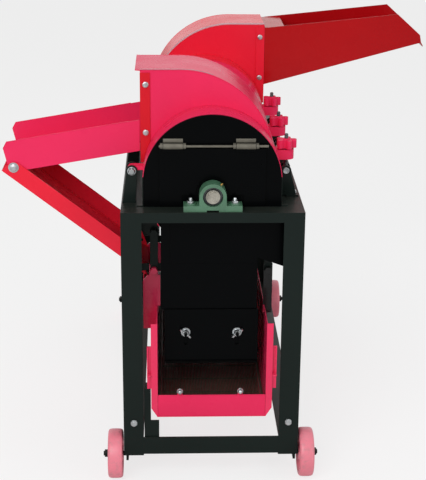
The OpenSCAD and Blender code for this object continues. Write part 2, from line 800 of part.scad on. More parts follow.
// The crank shaft with its disc and pin
pitman_y0 = sieve_y1 + 6;
pitman_t = 6;
crank_disc_y = pitman_y0 + pitman_t + 2;
crank_pin_r = 4.5;
eye_r = 2 * crank_r + crank_pin_r + 0.5;
module crank_shaft() {
    color(zinc) placed() {
        bar_y(crank_x, crank_z, small_shaft_d / 2, crank_disc_y, frame_l + 75);
        for (y = [inner_y, frame_l - near_y / 2]) bar_y(crank_x, crank_z, small_ring_r, y - 17, y + 17);
        bar_y(crank_x, crank_z, 24, crank_disc_y, crank_disc_y + 10);
        bar_y(crank_x + crank_r, crank_z, crank_pin_r, pitman_y0 - 3, crank_disc_y);
    }
}

// The rod from the crank to the lug under the sieve box, with a wide eye round the pin
module pitman_rod() {
    color(steel_black) placed() {
        sheet_xz(pitman_y0, pitman_y0 + pitman_t) difference() {
            union() {
                translate([crank_x, crank_z]) circle(r = eye_r + 6);
                translate([0, crank_z - 8]) square([crank_x - eye_r, 16]);
                translate([0, crank_z]) circle(r = 14);
            }
            translate([crank_x, crank_z]) circle(r = eye_r);
        }
        slab([-12, sieve_y1 - 30, crank_z - 8], [12, pitman_y0, sieve_bottom]);
    }
}

// The red box under the hopper, open at its far end and above
module sieve_box() {
    color(red) placed() {
        x = sieve_x;
        z0 = sieve_bottom;
        difference() {
            slab([-x, sieve_y0, z0], [x, sieve_y1, z0 + sieve_h]);
            slab([-x + sheet_t, sieve_y0 - 1, z0 + sheet_t], [x - sheet_t, sieve_y1 + 1, z0 + sieve_h + 1]);
        }
        for (s = [0, 1]) mirror([s, 0, 0]) {
            sheet_xz(sieve_y0, sieve_y0 + sheet_t)
                polygon([[-x, z0 + 2], [-x, z0 + sieve_h], [-x - 14, z0 + sieve_h], [-x - 14, z0 + 24]]);
            side_bracket(-x);
            for (y = hanger_ys) hanger_ear(-x, y);
            slab([-x + sheet_t, sieve_y0 + 4, screen_z - 5], [-x + 14, sieve_y1, screen_z - 3]);
        }
        catch_funnel();
    }
}

// The ribbed bracket outside each near corner of the sieve box
module side_bracket(x) {
    slab([x - 19, sieve_y0 + 6, 258], [x, sieve_y0 + 9, 372]);
    slab([x - 24, sieve_y0 - 8, 296], [x - 14.5, sieve_y0 + 6, 300]);
    slab([x - 24, sieve_y0 + 2, 300], [x - 21, sieve_y0 + 6, 372]);
    slab([x - 24, sieve_y0 + 6, 258], [x - 19, sieve_y0 + 9, 372]);
}

// The funnel on the box's left wall that catches the grain from the return chute: two
// cheeks, the near one beside a hanger, an outer wall and a floor that slopes over the wall
funnel_x = hw - 50;
funnel_in = sieve_x - 9;
funnel_z0 = sieve_bottom + sieve_h - 62;
funnel_z1 = hanger_top - hanger_l - 16;
funnel_y1 = return_y1 + 12;
module catch_funnel() {
    y0 = hanger_ys[0] + hanger_t + loose;
    wall_z = sieve_bottom + sieve_h;
    for (y = [y0, funnel_y1]) sheet_xz(y, y + ear_t) polygon([
        [-sieve_x, funnel_z0], [-funnel_x, funnel_z0], [-funnel_x, funnel_z1 - 14],
        [-funnel_x + 12, funnel_z1], [-funnel_in, funnel_z1], [-funnel_in, wall_z], [-sieve_x, wall_z]
    ]);
    slab([-funnel_x, y0 + ear_t, funnel_z0], [-funnel_x + sheet_t, funnel_y1, funnel_z1 - 14]);
    sheet_xz(y0 + ear_t, funnel_y1) polygon([
        [-funnel_x + sheet_t, wall_z + 28], [-sieve_x, wall_z - 2], [-sieve_x, wall_z],
        [-funnel_x + sheet_t, wall_z + 30]
    ]);
}

// The ear that rises from the box wall to a hanger's lower pivot
module hanger_ear(x, y) {
    y0 = y + hanger_t + loose;
    slab([x - 6, y0, sieve_bottom + 120], [x, y0 + 4, sieve_bottom + sieve_h]);
    slab([x - 18, y0, sieve_bottom + sieve_h - 20], [x + 4, y0 + 4, hanger_top - hanger_l + 14]);
    bar_y(-hanger_x, hanger_top - hanger_l, pin_r, y - 6, y0 + 2);
    hex_y(-hanger_x, hanger_top - hanger_l, 16, y - 12, y - loose);
}

// The perforated sheet inside the sieve box
module sieve_screen() {
    color("#6f5a48") placed() difference() {
        slab([-sieve_x + sheet_t + 0.5, sieve_y0 + 5, screen_z - 3],
            [sieve_x - sheet_t - 0.5, sieve_y1, screen_z - 1]);
        for (i = [-5:5]) for (j = [0:11])
            slab([i * 22 - 6, 30 + j * 75, screen_z - 9], [i * 22 + 6, 90 + j * 75, screen_z + 9]);
    }
}

// The bolted gate across the near end of the sieve box
gate_bolt_xs = [-79, 71];
gate_bolt_rise = 9.6;
module sieve_end_gate() {
    color(red) placed() {
        x = sieve_x - sheet_t - 0.3;
        slab([-x, sieve_y0 + 0.5, sieve_bottom + sheet_t], [x, sieve_y0 + 2.5, sieve_bottom + gate_h]);
        top = sieve_bottom + gate_h;
        for (bx = gate_bolt_xs) {
            slab([bx - 12, sieve_y0 + 2.5, top - 14], [bx + 12, sieve_y0 + 4.5, top + gate_bolt_rise + 8]);
            bar_y(bx, top + gate_bolt_rise, 4, sieve_y0 - 1, sieve_y0 + 9);
            hex_y(bx, top + gate_bolt_rise, 13, sieve_y0 - 3, sieve_y0 + 2.5);
        }
    }
}

// A hanger strap, its plate bored at both pivots
module hanger(s, y) {
    color(steel_black) placed() difference() {
        sheet_xz(y, y + hanger_t) union() {
            for (z = [hanger_top, hanger_top - hanger_l])
                translate([s * hanger_x, z]) circle(r = hanger_w / 2);
            translate([s * hanger_x - hanger_w / 2, hanger_top - hanger_l]) square([hanger_w, hanger_l]);
        }
        bar_y(s * hanger_x, hanger_top, pin_r + fit, y - 1, y + 9);
        bar_y(s * hanger_x, hanger_top - hanger_l, pin_r + hanger_play, y - 1, y + 9);
    }
}
module hanger_near_left() { hanger(-1, hanger_ys[0]); }
module hanger_near_right() { hanger(1, hanger_ys[0]); }
module hanger_far_left() { hanger(-1, hanger_ys[1]); }
module hanger_far_right() { hanger(1, hanger_ys[1]); }

// The fixed ears under the side rails that carry the hangers' upper pins
module hanger_brackets() {
    color(steel_black) placed() for (y = hanger_ys) for (s = [0, 1]) mirror([s, 0, 0]) {
        y0 = y + hanger_t + loose;
        sheet_xz(y0, y0 + 4) polygon([
            [-hw + 20, top_z - 5], [-hw + 48, top_z - 5], [-hw + 48, top_z - 9], [-hw + 60, top_z - 9],
            [-hanger_x + 13, hanger_top + 8], [-hanger_x + 13, hanger_top - 12],
            [-hanger_x - 13, hanger_top - 12], [-hw + 20, top_z - 30]
        ]);
        bar_y(-hanger_x, hanger_top, pin_r, y - 6, y0 + 2);
        hex_y(-hanger_x, hanger_top, 16, y - 12, y - loose);
    }
}

ear_t = 4;
// The black ears on the left rail with the hinge pins of the cover
module cover_hinge_brackets() {
    color(steel_black) placed() for (y = hinge_ys) {
        difference() {
            union() {
                for (d = [-18, 14]) sheet_xz(y + d, y + d + ear_t) union() {
                    translate([hinge_x, hinge_z]) circle(r = 14);
                    polygon([[-hw + 3, top_z], [hinge_x + 9, top_z],
                        [hinge_x + 13, hinge_z - 4], [hinge_x - 13, hinge_z - 4]]);
                }
                slab([-hw + 3, y - 14, top_z], [hinge_x + 9, y + 14, top_z + 4]);
            }
            translate([-bracket_hole_x, y, top_z - 1]) cylinder(r = 4.5, h = 9);
        }
        bar_y(hinge_x, hinge_z, hinge_pin_r, y - 22, y + 22);
        hex_y(hinge_x, hinge_z, 15, y - 24, y - 18);
    }
}

// The black ears on the right rail that hold the latch trunnions
module latch_brackets() {
    color(steel_black) placed() for (y = latch_ys) difference() {
        union() {
            for (d = [-19, 15]) sheet_xz(y + d, y + d + ear_t) union() {
                translate([latch_x, latch_z]) circle(r = 13);
                polygon([[latch_x - 10, top_z + 3], [latch_x + 25, top_z + 3], [latch_x + 25, top_z + 12],
                    [latch_x + 12, latch_z - 4], [latch_x - 10, latch_z - 4]]);
            }
            slab([latch_x + 1, y - 19, top_z], [latch_x + 32, y + 19, top_z + 4]);
        }
        bar_y(latch_x, latch_z, 8 + loose, y - 30, y + 30);
        translate([bracket_hole_x, y, top_z - 1]) cylinder(r = 4.5, h = 9);
    }
}

// The cross barrels that the star knobs' studs screw into
module latch_trunnions() {
    color(zinc) placed() for (y = latch_ys) difference() {
        bar_y(latch_x, latch_z, 8, y - 20, y + 20);
        translate([latch_x, y, latch_z - 12]) cylinder(r = stud_r + 0.9, h = 24);
    }
}

// A star knob with its stud
module star_knob(y) {
    color(red) placed() translate([latch_x, y, 0]) {
        translate([0, 0, knob_z]) linear_extrude(knob_h) knob_outline();
        translate([0, 0, latch_z - 3]) cylinder(r = stud_r, h = knob_z + knob_h + 14 - latch_z);
        translate([0, 0, lug_z + lug_t + 0.3]) cylinder(r = 11, h = 2);
    }
}
module knob_outline() {
    circle(r = 15);
    for (a = [0:72:288]) rotate(a) {
        translate([10, -6]) square([knob_r - 16, 12]);
        translate([knob_r - 6, 0]) circle(r = 6);
    }
}
module star_knob_near() { star_knob(latch_ys[0]); }
module star_knob_middle() { star_knob(latch_ys[1]); }
module star_knob_far() { star_knob(latch_ys[2]); }

// The upper part of the round chamber between y0 and y1
module round_cover(y0, y1) {
    sheet_xz(y0, y1) difference() {
        translate([0, cover_z]) circle(r = cover_r, $fn = 128);
        translate([0, cover_z]) circle(r = cover_in, $fn = 128);
        translate([-300, cover_z - 300]) square([600, 300 + skirt_z - cover_z]);
    }
}

// The window through the cover under a hood that opens to the left
module hood_window(y0) {
    slab([-cover_r - 20, y0 + sheet_t, hood_floor_z + 1],
        [cover_r - 68, y0 + hood_w - sheet_t, cover_z + cover_r + 9]);
}

// The hinged cover, its hinge straps and the lugs of its latches
module front_cover() {
    color(red) placed() {
        difference() {
            round_cover(front_near, front_far);
            hood_window(inlet_y);
        }
        for (y = hinge_ys) difference() {
            union() {
                bar_y(hinge_x, hinge_z, 11, y - 13.4, y + 13.4);
                slab([hinge_x, y - 13.4, hinge_z + 1], [-cover_r + 3.5, y + 13.4, hinge_z + 11]);
            }
            bar_y(0, cover_z, cover_r - 0.5, y - 30, y + 30);
            bar_y(hinge_x, hinge_z, hinge_pin_r + fit, y - 30, y + 30);
        }
        for (y = latch_ys) difference() {
            union() {
                translate([latch_x, y, lug_z]) cylinder(r = 19, h = lug_t);
                slab([cover_r - 18, y - 19, lug_z], [latch_x, y + 19, lug_z + lug_t]);
            }
            bar_y(0, cover_z, cover_r - 0.5, y - 40, y + 40);
            translate([latch_x, y, lug_z - 1]) cylinder(r = stud_r + 0.4, h = lug_t + 2);
        }
    }
}

// The outline of a hood that opens to the left, drawn outside the round cover
// The hoods' lower edges stand clear of the skirt strips along the round cover
skirt_strip_top = skirt_z + 12;
hood_low_z = skirt_strip_top + 1;
module hood_outline(inset) {
    intersection() {
        union() {
            translate([-hood_cx, hood_cz]) circle(r = hood_r - inset, $fn = 160);
            translate([-hood_edge, hood_low_z])
                square([hood_edge - hood_cx, roof_z - inset - hood_low_z]);
        }
        translate([-hood_edge - (inset > 0 ? 9 : 0), hood_low_z]) square(3 * hood_r);
    }
}

// The hood shell: two walls and the wrapped sheet, open to the left
strip_t = 2;
hood_bolt_zs = [roof_z - 153, roof_z - 35];
module hood_shell(y0) {
    difference() {
        sheet_xz(y0, y0 + hood_w) hood_outline(0);
        sheet_xz(y0 + sheet_t, y0 + hood_w - sheet_t) hood_outline(sheet_t);
        bar_y(0, cover_z, cover_r, y0 - 9, y0 + hood_w + 9);
        slab([-300, y0 + sheet_t, hood_floor_z - 60],
            [-hood_edge + 30, y0 + hood_w - sheet_t, roof_z - sheet_t]);
    }
    difference() {
        for (y = [y0 - strip_t, y0 + hood_w])
            slab([-hood_edge, y, hood_low_z], [-hood_edge + 24, y + strip_t, roof_z - 6]);
        bar_y(0, cover_z, cover_r, y0 - 9, y0 + hood_w + 9);
    }
}

module inlet_hood() {
    color(red) placed() {
        hood_shell(inlet_y);
        sheet_xz(inlet_y, inlet_y + hood_w) polygon([[-hood_edge, roof_z - sheet_t], [-hood_edge, roof_z],
            [-hood_edge - 12, roof_z + 1], [-hood_edge - 12, roof_z + 1 - sheet_t]]);
    }
}

module rear_cover() {
    color(red) placed() {
        difference() {
            round_cover(rear_near, rear_far);
            mirror([1, 0, 0]) hood_window(outlet_y);
        }
        for (s = [0, 1]) mirror([s, 0, 0]) {
            slab([-cover_r - 2, rear_near, wall_top - 24], [-cover_r, rear_far, skirt_strip_top]);
            slab([-cover_r - 1, rear_near, skirt_z + 2], [-cover_r + 3, rear_far, skirt_z + 8]);
        }
    }
}

module outlet_hood() { color(red) placed() mirror([1, 0, 0]) hood_shell(outlet_y); }

tray_root = [-hood_edge - 2, hood_floor_z];
// The feed tray: a channel that rises towards the hood
module inlet_tray() {
    color(red) placed() {
        difference() {
            translate([tray_root[0], tray_y1, tray_root[1]]) rotate([90, 0, 0])
                linear_extrude(tray_y1 - tray_y0) rotate(tray_slope) tray_side();
            translate([tray_root[0], tray_y1 - tray_t, tray_root[1]]) rotate([90, 0, 0])
                linear_extrude(tray_y1 - tray_y0 - 2 * tray_t) rotate(tray_slope)
                    translate([-tray_l - 20, tray_t]) square([tray_l + 60, tray_h + 20]);
        }
        sheet_xz(inlet_y + sheet_t + loose, inlet_y + hood_w - sheet_t - loose) polygon([
            [tray_root[0] - 1, hood_floor_z], [tongue_x, hood_floor_z],
            [tongue_x, hood_floor_z + tray_t], [tray_root[0] - 1, hood_floor_z + tray_t]
        ]);
    }
}
// Where the tray's tongue meets the round cover
tongue_x = -sqrt(pow(cover_r, 2) - pow(hood_floor_z - cover_z, 2)) - loose;
// The side view of a tray wall, with its outer corners cut
module tray_side() {
    polygon([[0, 0], [tray_h * tan(tray_slope), tray_h], [-tray_l + 8, tray_h],
        [-tray_l - 4, tray_h - 14], [-tray_l, 0]]);
}

// The bolts of the feed tray and the inlet hood
module cover_fasteners() {
    color(zinc) placed() for (z = hood_bolt_zs) for (y = [inlet_y - strip_t, inlet_y + hood_w + strip_t]) {
        d = y < inlet_y ? -1 : 1;
        y0 = d < 0 ? y - 6 : y;
        hex_y(-hood_edge + 13, z, 13, y0, y0 + 6);
    }
}

// The outlet chute: a channel that tapers towards its lip
chute_x0 = hood_edge + 1;
chute_z0 = top_z + 141;
chute_z1 = top_z + 264;
module outlet_chute() {
    color(dark_red) placed() {
        y0 = outlet_y - 2;
        y1 = outlet_y + hood_w + 2;
        x1 = chute_x0 + outlet_l;
        sheet_xz(y0, y0 + tray_t) chute_side();
        sheet_xz(y1 - tray_t, y1) chute_side();
        sheet_xz(y0 + tray_t, y1 - tray_t) union() {
            polygon([[chute_x0, chute_z0], [x1 + 4, chute_z1],
                [x1 + 4, chute_z1 + 2.1], [chute_x0, chute_z0 + 2.1]]);
            polygon([[x1 + 2, chute_z1 - 0.5], [x1 + lip_reach - 1.5, chute_z1 - 12],
                [x1 + lip_reach, chute_z1 - 10.5], [x1 + 4, chute_z1 + 1.5]]);
        }
        slab([chute_x0, y0 + tray_t, roof_z - 9], [chute_x0 + 58, y1 - tray_t, roof_z - 7]);
        sheet_xz(outlet_y + sheet_t + loose, outlet_y + hood_w - sheet_t - loose) polygon([
            [chute_x0 + 1, chute_z0], [chute_x0 + 1, chute_z0 + 2.1], [-tongue_x, hood_floor_z + 5],
            [-tongue_x, hood_floor_z + 2]
        ]);
    }
}
module chute_side() {
    x1 = chute_x0 + outlet_l;
    polygon([[chute_x0, chute_z0], [chute_x0, roof_z - 8], [x1 - 68, roof_z + 32],
        [x1, roof_z - 28], [x1 + 4, chute_z1]]);
}

module outlet_fasteners() {
    color(zinc) placed() for (y = [outlet_y - 2, outlet_y + hood_w + 2]) {
        d = y < outlet_y ? -1 : 1;
        y0 = d < 0 ? y - 6 : y;
        for (z = hood_bolt_zs) hex_y(hood_edge - 13, z, 13, y0, y0 + 6);
    }
}

// The chute that leads spilled grain from under the tray back to the sieve box
module return_chute() {
    color(red) placed() translate([return_px, 0, return_pz]) {
        difference() {
            translate([0, return_y1, 0]) rotate([90, 0, 0])
                linear_extrude(return_y1 - return_y0) rotate(-return_slope) return_side();
            translate([0, return_y1 - tray_t, 0]) rotate([90, 0, 0])
                linear_extrude(return_y1 - return_y0 - 2 * tray_t) rotate(-return_slope)
                    translate([-return_l - 40, tray_t]) square([return_l + 80, return_h + 20]);
            rotate([0, return_slope, 0])
                bar_y(return_pivot[0], return_pivot[1], return_pin_r + fit, return_y0 - 9, return_y1 + 9);
        }
    }
}
// Turns a point of the chute's own side view into the machine's X and Z
function on_return(p) = [return_px + p[0] * cos(return_slope) + p[1] * sin(return_slope),
    return_pz - p[0] * sin(return_slope) + p[1] * cos(return_slope)];

// The ears on the hopper's left side with the stub pins that the return chute turns on
pivot_gap = 1;
module chute_pivots() {
    color(steel_black) placed() {
        c = on_return(return_pivot);
        for (y = [[return_y0 - pivot_gap - ear_t, 0], [return_y1 + pivot_gap, -1]]) {
            sheet_xz(y[0], y[0] + ear_t) union() {
                translate(c) circle(r = 9);
                translate([c[0], c[1] - 9]) square([-hopper_x - c[0], 18]);
            }
            bar_y(c[0], c[1], return_pin_r, y[0] + (y[1] < 0 ? -5 : 0),
                y[0] + (y[1] < 0 ? ear_t : ear_t + 5));
        }
    }
}
module return_side() {
    polygon([[0, 0], [-return_h * tan(return_slope + return_lean), return_h], [-return_l + 14, return_h],
        [-return_l, return_h - 14], [-return_l - 4, 0]]);
}

left_side_frame();
right_side_frame();
cross_rails();
frame_fasteners();
wheel_brackets();
guide_post();
near_end_plate();
far_end_plate();
chamber_side_walls();
flap_hinge_rod();
drum_bearings();
grease_nipples();
concave_grate();
hopper_sides();
lower_end_panel();
fan_housing();
lower_bearings();
hanger_brackets();
cover_hinge_brackets();
latch_brackets();
latch_trunnions();
chute_pivots();
fan_belt();
crank_belt();
rear_cover();
outlet_hood();
outlet_chute();
outlet_fasteners();
drum_shaft();
drum_rotor();
drum_teeth();
drum_pulley();
fan_rotor();
fan_pulley();
crank_shaft();
crank_pulley();
sieve_box();
sieve_screen();
sieve_end_gate();
pitman_rod();
hanger_near_left();
hanger_near_right();
hanger_far_left();
hanger_far_right();
end_flap();
air_plate();
wing_nut_left();
wing_nut_right();
front_cover();
inlet_hood();
inlet_tray();
cover_fasteners();
star_knob_near();
star_knob_middle();
star_knob_far();
return_chute();
wheel_near_left();
wheel_near_right();
wheel_far_left();
wheel_far_right();
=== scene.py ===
"""Looks of a small maize threshing machine: finishes, fittings and worn surfaces."""

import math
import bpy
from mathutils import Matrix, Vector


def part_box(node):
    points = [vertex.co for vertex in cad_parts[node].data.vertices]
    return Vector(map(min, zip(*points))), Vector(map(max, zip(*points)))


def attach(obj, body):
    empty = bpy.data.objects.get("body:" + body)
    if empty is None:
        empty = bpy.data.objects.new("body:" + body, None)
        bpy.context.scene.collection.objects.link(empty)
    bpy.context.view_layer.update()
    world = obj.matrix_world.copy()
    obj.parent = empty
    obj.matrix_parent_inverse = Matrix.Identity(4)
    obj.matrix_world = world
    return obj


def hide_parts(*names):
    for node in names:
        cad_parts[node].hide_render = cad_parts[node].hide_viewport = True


bl_info = {
    "name": "Threshing machine",
    "version": (1, 0, 0),
    "blender": (4, 5, 0),
    "location": "View3D > Sidebar > Thresher",
    "description": "Dresses a small threshing machine and sets up its stage",
    "category": "Object",
}

import bmesh
import bpy
from bpy.props import FloatProperty, FloatVectorProperty, IntProperty, PointerProperty
from mathutils import Matrix, Vector

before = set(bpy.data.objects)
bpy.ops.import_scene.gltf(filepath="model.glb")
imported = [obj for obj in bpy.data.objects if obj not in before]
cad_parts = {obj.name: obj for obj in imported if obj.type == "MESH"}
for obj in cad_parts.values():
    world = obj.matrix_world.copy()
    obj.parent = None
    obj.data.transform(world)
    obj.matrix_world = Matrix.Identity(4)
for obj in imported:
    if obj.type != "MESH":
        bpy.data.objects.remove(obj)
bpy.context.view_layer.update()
MM = 0.001

# places from the frame


def low(node):
    """The lowest corner of a CAD node."""
    return Vector(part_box(node)[0])


def high(node):
    """The highest corner of a CAD node."""
    return Vector(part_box(node)[1])


STAND_X = (low("left_side_frame").x + high("right_side_frame").x) / 2
STAND_Y = low("left_side_frame").y


def at(x, y, z):
    """A point given in millimetres from the stand's middle, its near face and the floor."""
    return Vector((STAND_X + x * MM, STAND_Y + y * MM, z * MM))


# colours and materials

DUST_ROUGHNESS = (0.75, 0.75, 0.75, 1)

def linear(code):
    """An sRGB hex colour as linear RGBA."""
    parts = [int(code[i : i + 2], 16) / 255 for i in (1, 3, 5)]
    return [c / 12.92 if c <= 0.04045 else ((c + 0.055) / 1.055) ** 2.4 for c in parts] + [1]


def darker(colour, share):
    """A colour taken down by a share of its light."""
    return [c * (1 - share) for c in colour[:3]] + [1]


def add(tree, kind, settings=None, **links):
    """Adds a node with its settings; a link is a socket, and a plain value sets the input.
    An input is named, or numbered as i0, i1 and so on."""
    node = tree.nodes.new(kind)
    for name, value in (settings or {}).items():
        setattr(node, name, value)
    for name, value in links.items():
        socket = node.inputs[int(name[1:]) if name[1:].isdigit() else name.replace("_", " ")]
        if isinstance(value, bpy.types.NodeSocket):
            tree.links.new(value, socket)
        else:
            socket.default_value = value
    return node


def new_material(name):
    """An empty material, its node tree and its output node."""
    material = bpy.data.materials.new(name)
    material.use_nodes = True
    tree = material.node_tree
    tree.nodes.clear()
    return material, tree, add(tree, "ShaderNodeOutputMaterial")


def noise(tree, place, size_mm, detail=3.0, roughness=0.55):
    """Noise whose grains are about size_mm across."""
    return add(
        tree, "ShaderNodeTexNoise", Vector=place, Scale=1000.0 / size_mm / 2, Detail=detail,
        Roughness=roughness,
    ).outputs["Fac"]


def ramp(tree, value, stops):
    """A colour ramp given as (position, colour or grey) stops."""
    node = add(tree, "ShaderNodeValToRGB", Fac=value)
    elements = node.color_ramp.elements
    while len(elements) < len(stops):
        elements.new(0.5)
    for element, (place, colour) in zip(elements, stops):
        element.position = place
        element.color = [colour] * 3 + [1] if isinstance(colour, float) else [*colour[:3], 1]
    return node.outputs["Color"]


def mix(tree, factor, a, b):
    """A mix of two colours or sockets."""
    node = add(tree, "ShaderNodeMix", {"data_type": "RGBA"}, i0=factor, i6=a, i7=b)
    return node.outputs[2]


def times(tree, a, b):
    """Two values multiplied."""
    return add(tree, "ShaderNodeMath", {"operation": "MULTIPLY"}, i0=a, i1=b).outputs[0]


def finish_off(material, tree, output, **inputs):
    """Ends a material in one principled shader."""
    shader = add(tree, "ShaderNodeBsdfPrincipled", **inputs)
    tree.links.new(shader.outputs["BSDF"], output.inputs["Surface"])
    return material


def soft_edge(tree, radius_mm):
    """The normal rounded over sharp edges, and a value that is 1 on those edges."""
    round_normal = add(tree, "ShaderNodeBevel", {"samples": 4}, Radius=radius_mm * MM).outputs["Normal"]
    flat_normal = add(tree, "ShaderNodeNewGeometry").outputs["Normal"]
    same = add(tree, "ShaderNodeVectorMath", {"operation": "DOT_PRODUCT"}, i0=round_normal, i1=flat_normal)
    return round_normal, ramp(tree, same.outputs["Value"], [(0.8, 1.0), (0.985, 0.0)])


def above(tree, value, limit):
    """1 where a value is over a limit, and else 0."""
    return add(tree, "ShaderNodeMath", {"operation": "GREATER_THAN"}, i0=value, i1=limit).outputs[0]


def iron_mask(tree, place):
    """1 on the hanger irons welded to the right of the sieve box."""
    axes = add(tree, "ShaderNodeSeparateXYZ", Vector=place)
    wall = at(136.1, 60, 434.4)
    beside = above(tree, axes.outputs["X"], wall.x)
    over = times(tree, above(tree, axes.outputs["Z"], wall.z), above(tree, axes.outputs["X"], STAND_X))
    irons = add(tree, "ShaderNodeMath", {"operation": "MAXIMUM"}, i0=beside, i1=over).outputs[0]
    return times(tree, irons, above(tree, axes.outputs["Y"], wall.y))


def enamel(name, colour, rough, peel_mm, dust_and_sheen_share, chip_share, coat, shine=0.2, irons=None):
    """Alkyd enamel on sheet steel: a clear gloss over an even colour, faint orange peel, thin dust on what
    faces up (on the roof laps also a painted sheen), and dull steel in the chips along bent and cut edges."""
    material, tree, output = new_material(name)
    place = add(tree, "ShaderNodeTexCoord").outputs["Object"]
    tone = ramp(tree, noise(tree, place, 160), [(0.35, darker(colour, 0.1)), (0.62, list(colour[:3]) + [1])])
    normal = add(tree, "ShaderNodeSeparateXYZ", Vector=add(tree, "ShaderNodeNewGeometry").outputs["Normal"])
    # pale film on faces that look up: dust, and where its share is large, as on the roof laps, a painted
    # sheen as well
    upward = ramp(tree, normal.outputs["Z"], [(0.5, 0.0), (0.95, dust_and_sheen_share)])
    dust = times(tree, upward, ramp(tree, noise(tree, place, 22, 5.0, 0.65), [(0.35, 0.3), (0.7, 1.0)]))
    round_normal, edge = soft_edge(tree, 1.0)
    chips = times(tree, edge, ramp(tree, noise(tree, place, 4, 4.0, 0.7), [(0.56, 0.0), (0.62, chip_share)]))
    if irons:
        tone = mix(tree, iron_mask(tree, place), tone, [*irons[:3], 1])
    base = mix(tree, dust, tone, linear("#a59d90"))
    base = mix(tree, chips, base, linear("#55504c"))
    gloss = ramp(tree, noise(tree, place, 45, 4.0), [(0.3, rough - 0.04), (0.7, rough + 0.08)])
    peel = add(
        tree, "ShaderNodeBump", Height=noise(tree, place, peel_mm, 2.0), Distance=0.04 * MM, Strength=0.3,
        Normal=round_normal,
    )
    return finish_off(
        material, tree, output, Base_Color=base, Roughness=mix(tree, dust, gloss, DUST_ROUGHNESS),
        Normal=peel.outputs["Normal"], Coat_Weight=coat, Coat_Roughness=0.12, Specular_IOR_Level=shine,
    )


def bare_metal(name, colour, rough, grain_mm, metallic=1.0):
    """Turned or plated metal: a little uneven in tone and gloss, with a fine grain."""
    material, tree, output = new_material(name)
    place = add(tree, "ShaderNodeTexCoord").outputs["Object"]
    tone = ramp(tree, noise(tree, place, grain_mm * 6, 4.0), [(0.35, darker(colour, 0.35)), (0.65, colour)])
    gloss = ramp(tree, noise(tree, place, grain_mm * 2), [(0.3, rough - 0.08), (0.7, rough + 0.12)])
    round_normal, edge = soft_edge(tree, 0.5)
    grain = add(
        tree, "ShaderNodeBump", Height=noise(tree, place, grain_mm), Distance=0.05 * MM, Strength=0.35,
        Normal=round_normal,
    )
    return finish_off(
        material, tree, output, Base_Color=mix(tree, times(tree, edge, 0.3), tone, linear("#e8e8e8")),
        Roughness=gloss, Metallic=metallic, Normal=grain.outputs["Normal"],
    )


def painted_casting(name, colour):
    """Sand-cast iron under thick paint: a coarse skin, and paler paint rubbed at the edges."""
    material, tree, output = new_material(name)
    place = add(tree, "ShaderNodeTexCoord").outputs["Object"]
    tone = ramp(tree, noise(tree, place, 14, 4.0), [(0.3, darker(colour, 0.25)), (0.6, colour)])
    round_normal, edge = soft_edge(tree, 1.2)
    rubbed = times(tree, edge, ramp(tree, noise(tree, place, 6, 4.0), [(0.4, 0.0), (0.7, 0.5)]))
    skin = add(
        tree, "ShaderNodeBump", Height=noise(tree, place, 1.4), Distance=0.2 * MM, Strength=0.5,
        Normal=round_normal,
    )
    return finish_off(
        material, tree, output, Base_Color=mix(tree, rubbed, tone, linear("#a9bdb0")), Roughness=0.45,
        Normal=skin.outputs["Normal"], Coat_Weight=0.3, Coat_Roughness=0.25,
    )


def cast_tread(name, colour):
    """Cast polyurethane: satin, a little uneven in tone, with grey dirt rolled into it."""
    material, tree, output = new_material(name)
    place = add(tree, "ShaderNodeTexCoord").outputs["Object"]
    tone = ramp(tree, noise(tree, place, 30), [(0.3, darker(colour, 0.12)), (0.65, colour)])
    dirt = ramp(tree, noise(tree, place, 9, 5.0, 0.7), [(0.5, 0.0), (0.75, 0.45)])
    round_normal, edge = soft_edge(tree, 1.2)
    skin = add(
        tree, "ShaderNodeBump", Height=noise(tree, place, 2.5), Distance=0.15 * MM, Strength=0.4,
        Normal=round_normal,
    )
    base = mix(tree, dirt, tone, linear("#9a8583"))
    return finish_off(
        material, tree, output, Base_Color=mix(tree, times(tree, edge, 0.35), base, linear("#f3b8c2")),
        Roughness=0.42, Normal=skin.outputs["Normal"], Coat_Weight=0.25, Coat_Roughness=0.3,
    )


def belt_rubber(name):
    """Moulded belt rubber with the weave of its cloth cover, drawn at 1.2 mm."""
    material, tree, output = new_material(name)
    place = add(tree, "ShaderNodeTexCoord").outputs["Object"]
    tone = ramp(tree, noise(tree, place, 8, 4.0), [(0.3, linear("#131315")), (0.7, linear("#232325"))])
    weave = add(tree, "ShaderNodeBump", Height=noise(tree, place, 1.2), Distance=0.1 * MM, Strength=0.5)
    return finish_off(
        material, tree, output, Base_Color=tone, Roughness=0.72, Normal=weave.outputs["Normal"],
    )


